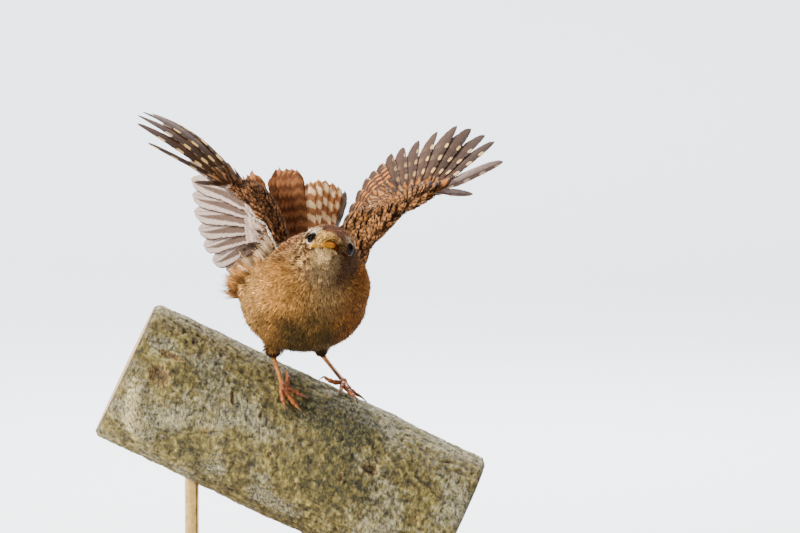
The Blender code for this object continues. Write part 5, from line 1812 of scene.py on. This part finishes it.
def under_patch(name, points, normals):
    """Where the front of the right arm shows the pale feathers under the wing."""
    line = np.interp(points[:, 2], (131, 137, 141, 143.5), (-6.6, -8.9, -10.8, -14.0))
    inside = smooth(0.2, 0.9, line - points[:, 0]) * smooth(145.5, 143.5, points[:, 2])
    return inside * smooth(0.1, -0.3, normals[:, 1]) * (name == "wing_right")


def arm_style(name, wing):
    """How the small feathers of an arm lie and are coloured."""
    _, shoulder, _, wrist, tip = np.array(ARM_JOINTS[name], float)
    outwards = unit(tip - shoulder)
    backwards = wing.at(wing.directions, np.array([9.0]))[0]

    def place_along(points):
        return np.clip((points - shoulder) @ outwards / np.linalg.norm(tip - shoulder), 0, 1)

    def lie(points, normals):
        way = outwards * (0.7 - 0.2 * place_along(points))[:, None] + backwards * 0.45
        return along_surface(way, normals)

    def colour(points, normals):
        fleck = lumps(points, 0.9, 41)
        wide = lumps(points, 3.0, 42)
        share = 0.75
        if name == "wing_right":
            share = 0.3 + 0.7 * smooth(1.5, 4.5, points[:, 0] - wrist[0]) * smooth(141, 146, points[:, 2])
        under = blend(UNDER_MAUVE, UNDER_DUSK, smooth(0.0, 0.5, lumps(points, 1.6, 43)))
        base = layered(ARM_DARK, (ARM_BROWN, smooth(-0.4, 0.8, wide)),
                       (ARM_OCHRE, smooth(0.1, 0.6, fleck) * share),
                       (ARM_CREAM, smooth(0.62, 0.8, fleck) * 0.6),
                       (under, under_patch(name, points, normals)))
        return base, 0.6 + 0.2 * place_along(points), np.full(len(points), 0.35)

    def keep(points, normals):
        return under_patch(name, points, normals) < 0.3

    # gap: darkening towards each strand's root, partly painted shade between feathers.
    return {"lie": lie, "keep": keep, "length": lambda points: np.full(len(points), 3.0), "colour": colour,
            "depth": lambda points: np.full(len(points), 0.5), "bar_at": 0.85, "gap": 0.75,
            "contrast": 0.3, "scale": 3.4, "spacing": 1.1 if name == "wing_left" else 0.85, "dots": 0.15}


def make_scales(name, form, style, material, rng):
    """Small overlapping feathers with their own vanes over a form."""
    spacing = style["spacing"]
    roots, normals = form.scatter(rng, lambda points, normals: style["keep"](points, normals) / spacing ** 2)
    lies = ruffled(rng, style["lie"](roots, normals), normals, 0.12)
    lengths = style["scale"] * (0.85 + 0.3 * rng.random(len(roots)))
    across = np.linspace(-1, 1, SCALE_CELLS[0] + 1)
    along = np.linspace(0, 1, SCALE_CELLS[1] + 1)
    width = outline(along, *LESSER_SHAPE) * spacing * 0.85
    places, ups = [], []
    for t in along:
        surface, up = form.nearest(roots + lies * (lengths * t)[:, None])
        places.append(surface + up * (0.3 + 0.55 * t))
        ups.append(up)
    shafts, ups = np.stack(places, 1), np.stack(ups, 1)
    sides = unit(np.cross(np.gradient(shafts, axis=1), ups))
    aside = (width[:, None] * across[None])[None, :, :, None]
    fray = 1 - 0.12 * np.abs(rng.standard_normal((len(roots), len(along), 1, 1)))
    middles = shafts[:, :, None] + sides[:, :, None] * aside * fray
    middles -= ups[:, :, None] * 0.12 * aside ** 2
    lifts = np.broadcast_to(ups[:, :, None], middles.shape)
    grid = np.broadcast_arrays((across[None] + 1) / 2, along[:, None])
    flat = np.broadcast_to(np.stack(grid, -1), middles.shape[:3] + (2,))
    scales = join_blades(name, middles, lifts, SCALE_THICKNESS, flat,
                         feather_values(rng, lengths, style["dots"]))
    show(scales, material, "flight_plumage")


def everywhere(points):
    """Every point."""
    return np.ones(len(points), bool)


def make_arm(name, wing, material, finishes):
    """An arm with its soft coat and its scale-like feathers."""
    arm = arm_form(name)
    form = Form(arm)
    style = arm_style(name, wing)
    colour, _, _ = style["colour"](form.points, form.normals)
    set_vertices(arm.data, form.points - form.normals * 0.4)
    # Painted shade between the arm's feathers.
    paint(arm.data, "mark", colour * ARM_SKIN_SHADE)
    arm.data.shade_smooth()
    show(arm, material, "body_plumage")
    rng = np.random.default_rng(SEED + 70 + len(name))
    make_coat(f"coat_{arm.name}", form, everywhere, 2.4, 5, 0.2, form.points.mean(0), rng, material,
              0.3, 0.07, style)
    # The right arm takes the copy with painted shade.
    finish = finishes["lesser_dark" if name == "wing_right" else "lesser"]
    make_scales(f"scales_{arm.name}", form, style, finish, rng)


# Loose tufts
TUFT_STRANDS = 12
# gap: darkening towards each strand's root, partly painted shade between feathers.
TUFT_STYLE = {"bar_at": 0.8, "gap": 0.35, "contrast": 0.18}
# name, roots from and to, way from and to, length, feathers, colour, dark share
TUFTS = (
    ("tuft_axillar", (-13.0, -12.0, 124.5), (-7.0, -13.0, 129.5), (-0.80, 0.05, 0.55),
     (-0.45, 0.0, 0.89), 8.5, 60, linear(188, 158, 120), 0.3),
    ("tuft_axillar_low", (-17.0, -10.5, 121.0), (-9.0, -12.8, 125.5), (-0.84, 0.0, 0.50),
     (-0.66, 0.0, 0.75), 8.0, 110, linear(166, 116, 62), 0.4),
    ("tuft_axillar_dark", (-12.5, -12.8, 134.5), (-15.5, -12.2, 131.5), (-0.85, 0.0, -0.30),
     (-0.75, 0.0, -0.45), 6.0, 50, linear(96, 76, 64), 0.5),
    ("tuft_flank", (-18.0, -7.0, 117.5), (-14.5, -8.5, 124.0), (-0.88, 0.05, 0.30),
     (-0.76, 0.05, 0.62), 8.0, 120, linear(136, 92, 48), 0.4),
    ("tuft_wing_edge", (-5.3, -12.6, 129.5), (-10.4, -10.6, 140.0), (-0.62, -0.1, 0.78),
     (-0.55, -0.1, 0.83), 1.5, 60, linear(206, 196, 180), 0.0),
    ("tuft_wing_edge_high", (-10.2, -11.4, 140.0), (-15.0, -11.6, 143.6), (-0.80, -0.1, 0.60),
     (-0.95, -0.1, 0.30), 1.5, 40, linear(196, 184, 168), 0.0),
    ("tuft_shoulder_left", (15.5, -6.5, 126.0), (19.5, -8.0, 132.0), (0.72, 0.2, 0.35),
     (0.55, 0.2, 0.7), 5.5, 60, linear(84, 50, 22), 0.5),
    ("tuft_chin", tuple(head_point(-1.3, 5.6, -2.9)), tuple(head_point(1.6, 5.6, -2.9)),
     tuple(-HEAD_FORWARD * 0.72 - HEAD_UP * 0.6 - HEAD_LEFT * 0.3),
     tuple(-HEAD_FORWARD * 0.72 - HEAD_UP * 0.6 + HEAD_LEFT * 0.3), 2.6, 60, linear(166, 136, 90), 0.2),
)


def make_tufts(material):
    """Loose soft feathers at the wings' roots and on the flank."""
    for index, (name, first, last, way_first, way_last, length, count, colour, dark) in enumerate(TUFTS):
        rng = np.random.default_rng(SEED + 90 + index)
        share = rng.random((count, 1))
        roots = np.array(first) * (1 - share) + np.array(last) * share
        roots += rng.normal(0, 0.075 * length, (count, 3))
        ways = np.array(way_first) * (1 - share) + np.array(way_last) * share
        ways = unit(ways + rng.normal(0, 0.13, (count, 3)))
        normals = unit(np.cross(np.cross(ways, (0, -1.0, 0.1)), ways))
        lengths = length * (0.6 + 0.5 * rng.random(count))
        places, side = loose_strands(roots, ways, normals, lengths, rng, TUFT_STRANDS)
        tone = colour * np.exp(rng.normal(0, 0.22, (count, 1)))
        tone = np.where(rng.random((count, 1)) < dark, tone * 0.5, tone)
        widths = 0.13 * (0.7 + 0.6 * rng.random((count, TUFT_STRANDS)))
        shades = blade_colours(rng, tone, np.full(count, 0.2), np.full(count, 0.5), count, TUFT_STRANDS,
                               TUFT_STYLE)
        coat_mesh(name, places, side, normals, widths, shades,
                  sphere_map(roots, roots.mean(0) + (0, 6, -6)), material)


def loose_strands(roots, ways, normals, lengths, rng, count):
    """Open soft feathers whose strands spread and bend a little."""
    fan = len(roots)
    side = unit(np.cross(normals, ways))
    own = np.linspace(-1, 1, count)[None] + rng.normal(0, 0.15, (fan, count))
    reach = (1 - 0.3 * own ** 2 - 0.25 * rng.random((fan, count))) * lengths[:, None]
    bend = rng.normal(0, 0.08, (fan, 1)) + rng.normal(0, 0.05, (fan, count))
    places = []
    for t in (0.0, BLADE_MIDDLE, 1.0):
        across = own * (0.025 + 0.14 * t) * reach + bend * reach * t * t
        fall = -0.06 * reach * t * t + rng.normal(0, 0.015, (fan, count)) * reach * t
        places.append(roots[:, None] + ways[:, None] * (reach * t)[..., None]
                      + side[:, None] * across[..., None] + normals[:, None] * fall[..., None])
    return np.stack(places, 2), side


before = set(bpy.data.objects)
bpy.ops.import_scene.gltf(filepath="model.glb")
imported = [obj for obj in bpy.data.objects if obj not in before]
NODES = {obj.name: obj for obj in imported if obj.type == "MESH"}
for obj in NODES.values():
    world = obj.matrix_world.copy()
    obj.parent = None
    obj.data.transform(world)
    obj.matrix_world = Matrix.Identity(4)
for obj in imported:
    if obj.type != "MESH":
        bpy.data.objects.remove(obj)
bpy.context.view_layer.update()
make_floor()
make_lights()
make_camera()
dress_stand(NODES)
make_perch()
FORM = make_skin(NODES)
PLUMAGE = make_coats(FORM)
make_bill(FORM)
make_eyes()
make_legs()
FINISHES = feather_finishes()
for wing_name in ARM_JOINTS:
    make_arm(wing_name, make_wing(wing_name, FINISHES), PLUMAGE, FINISHES)
make_tufts(PLUMAGE)
make_tail(FINISHES)
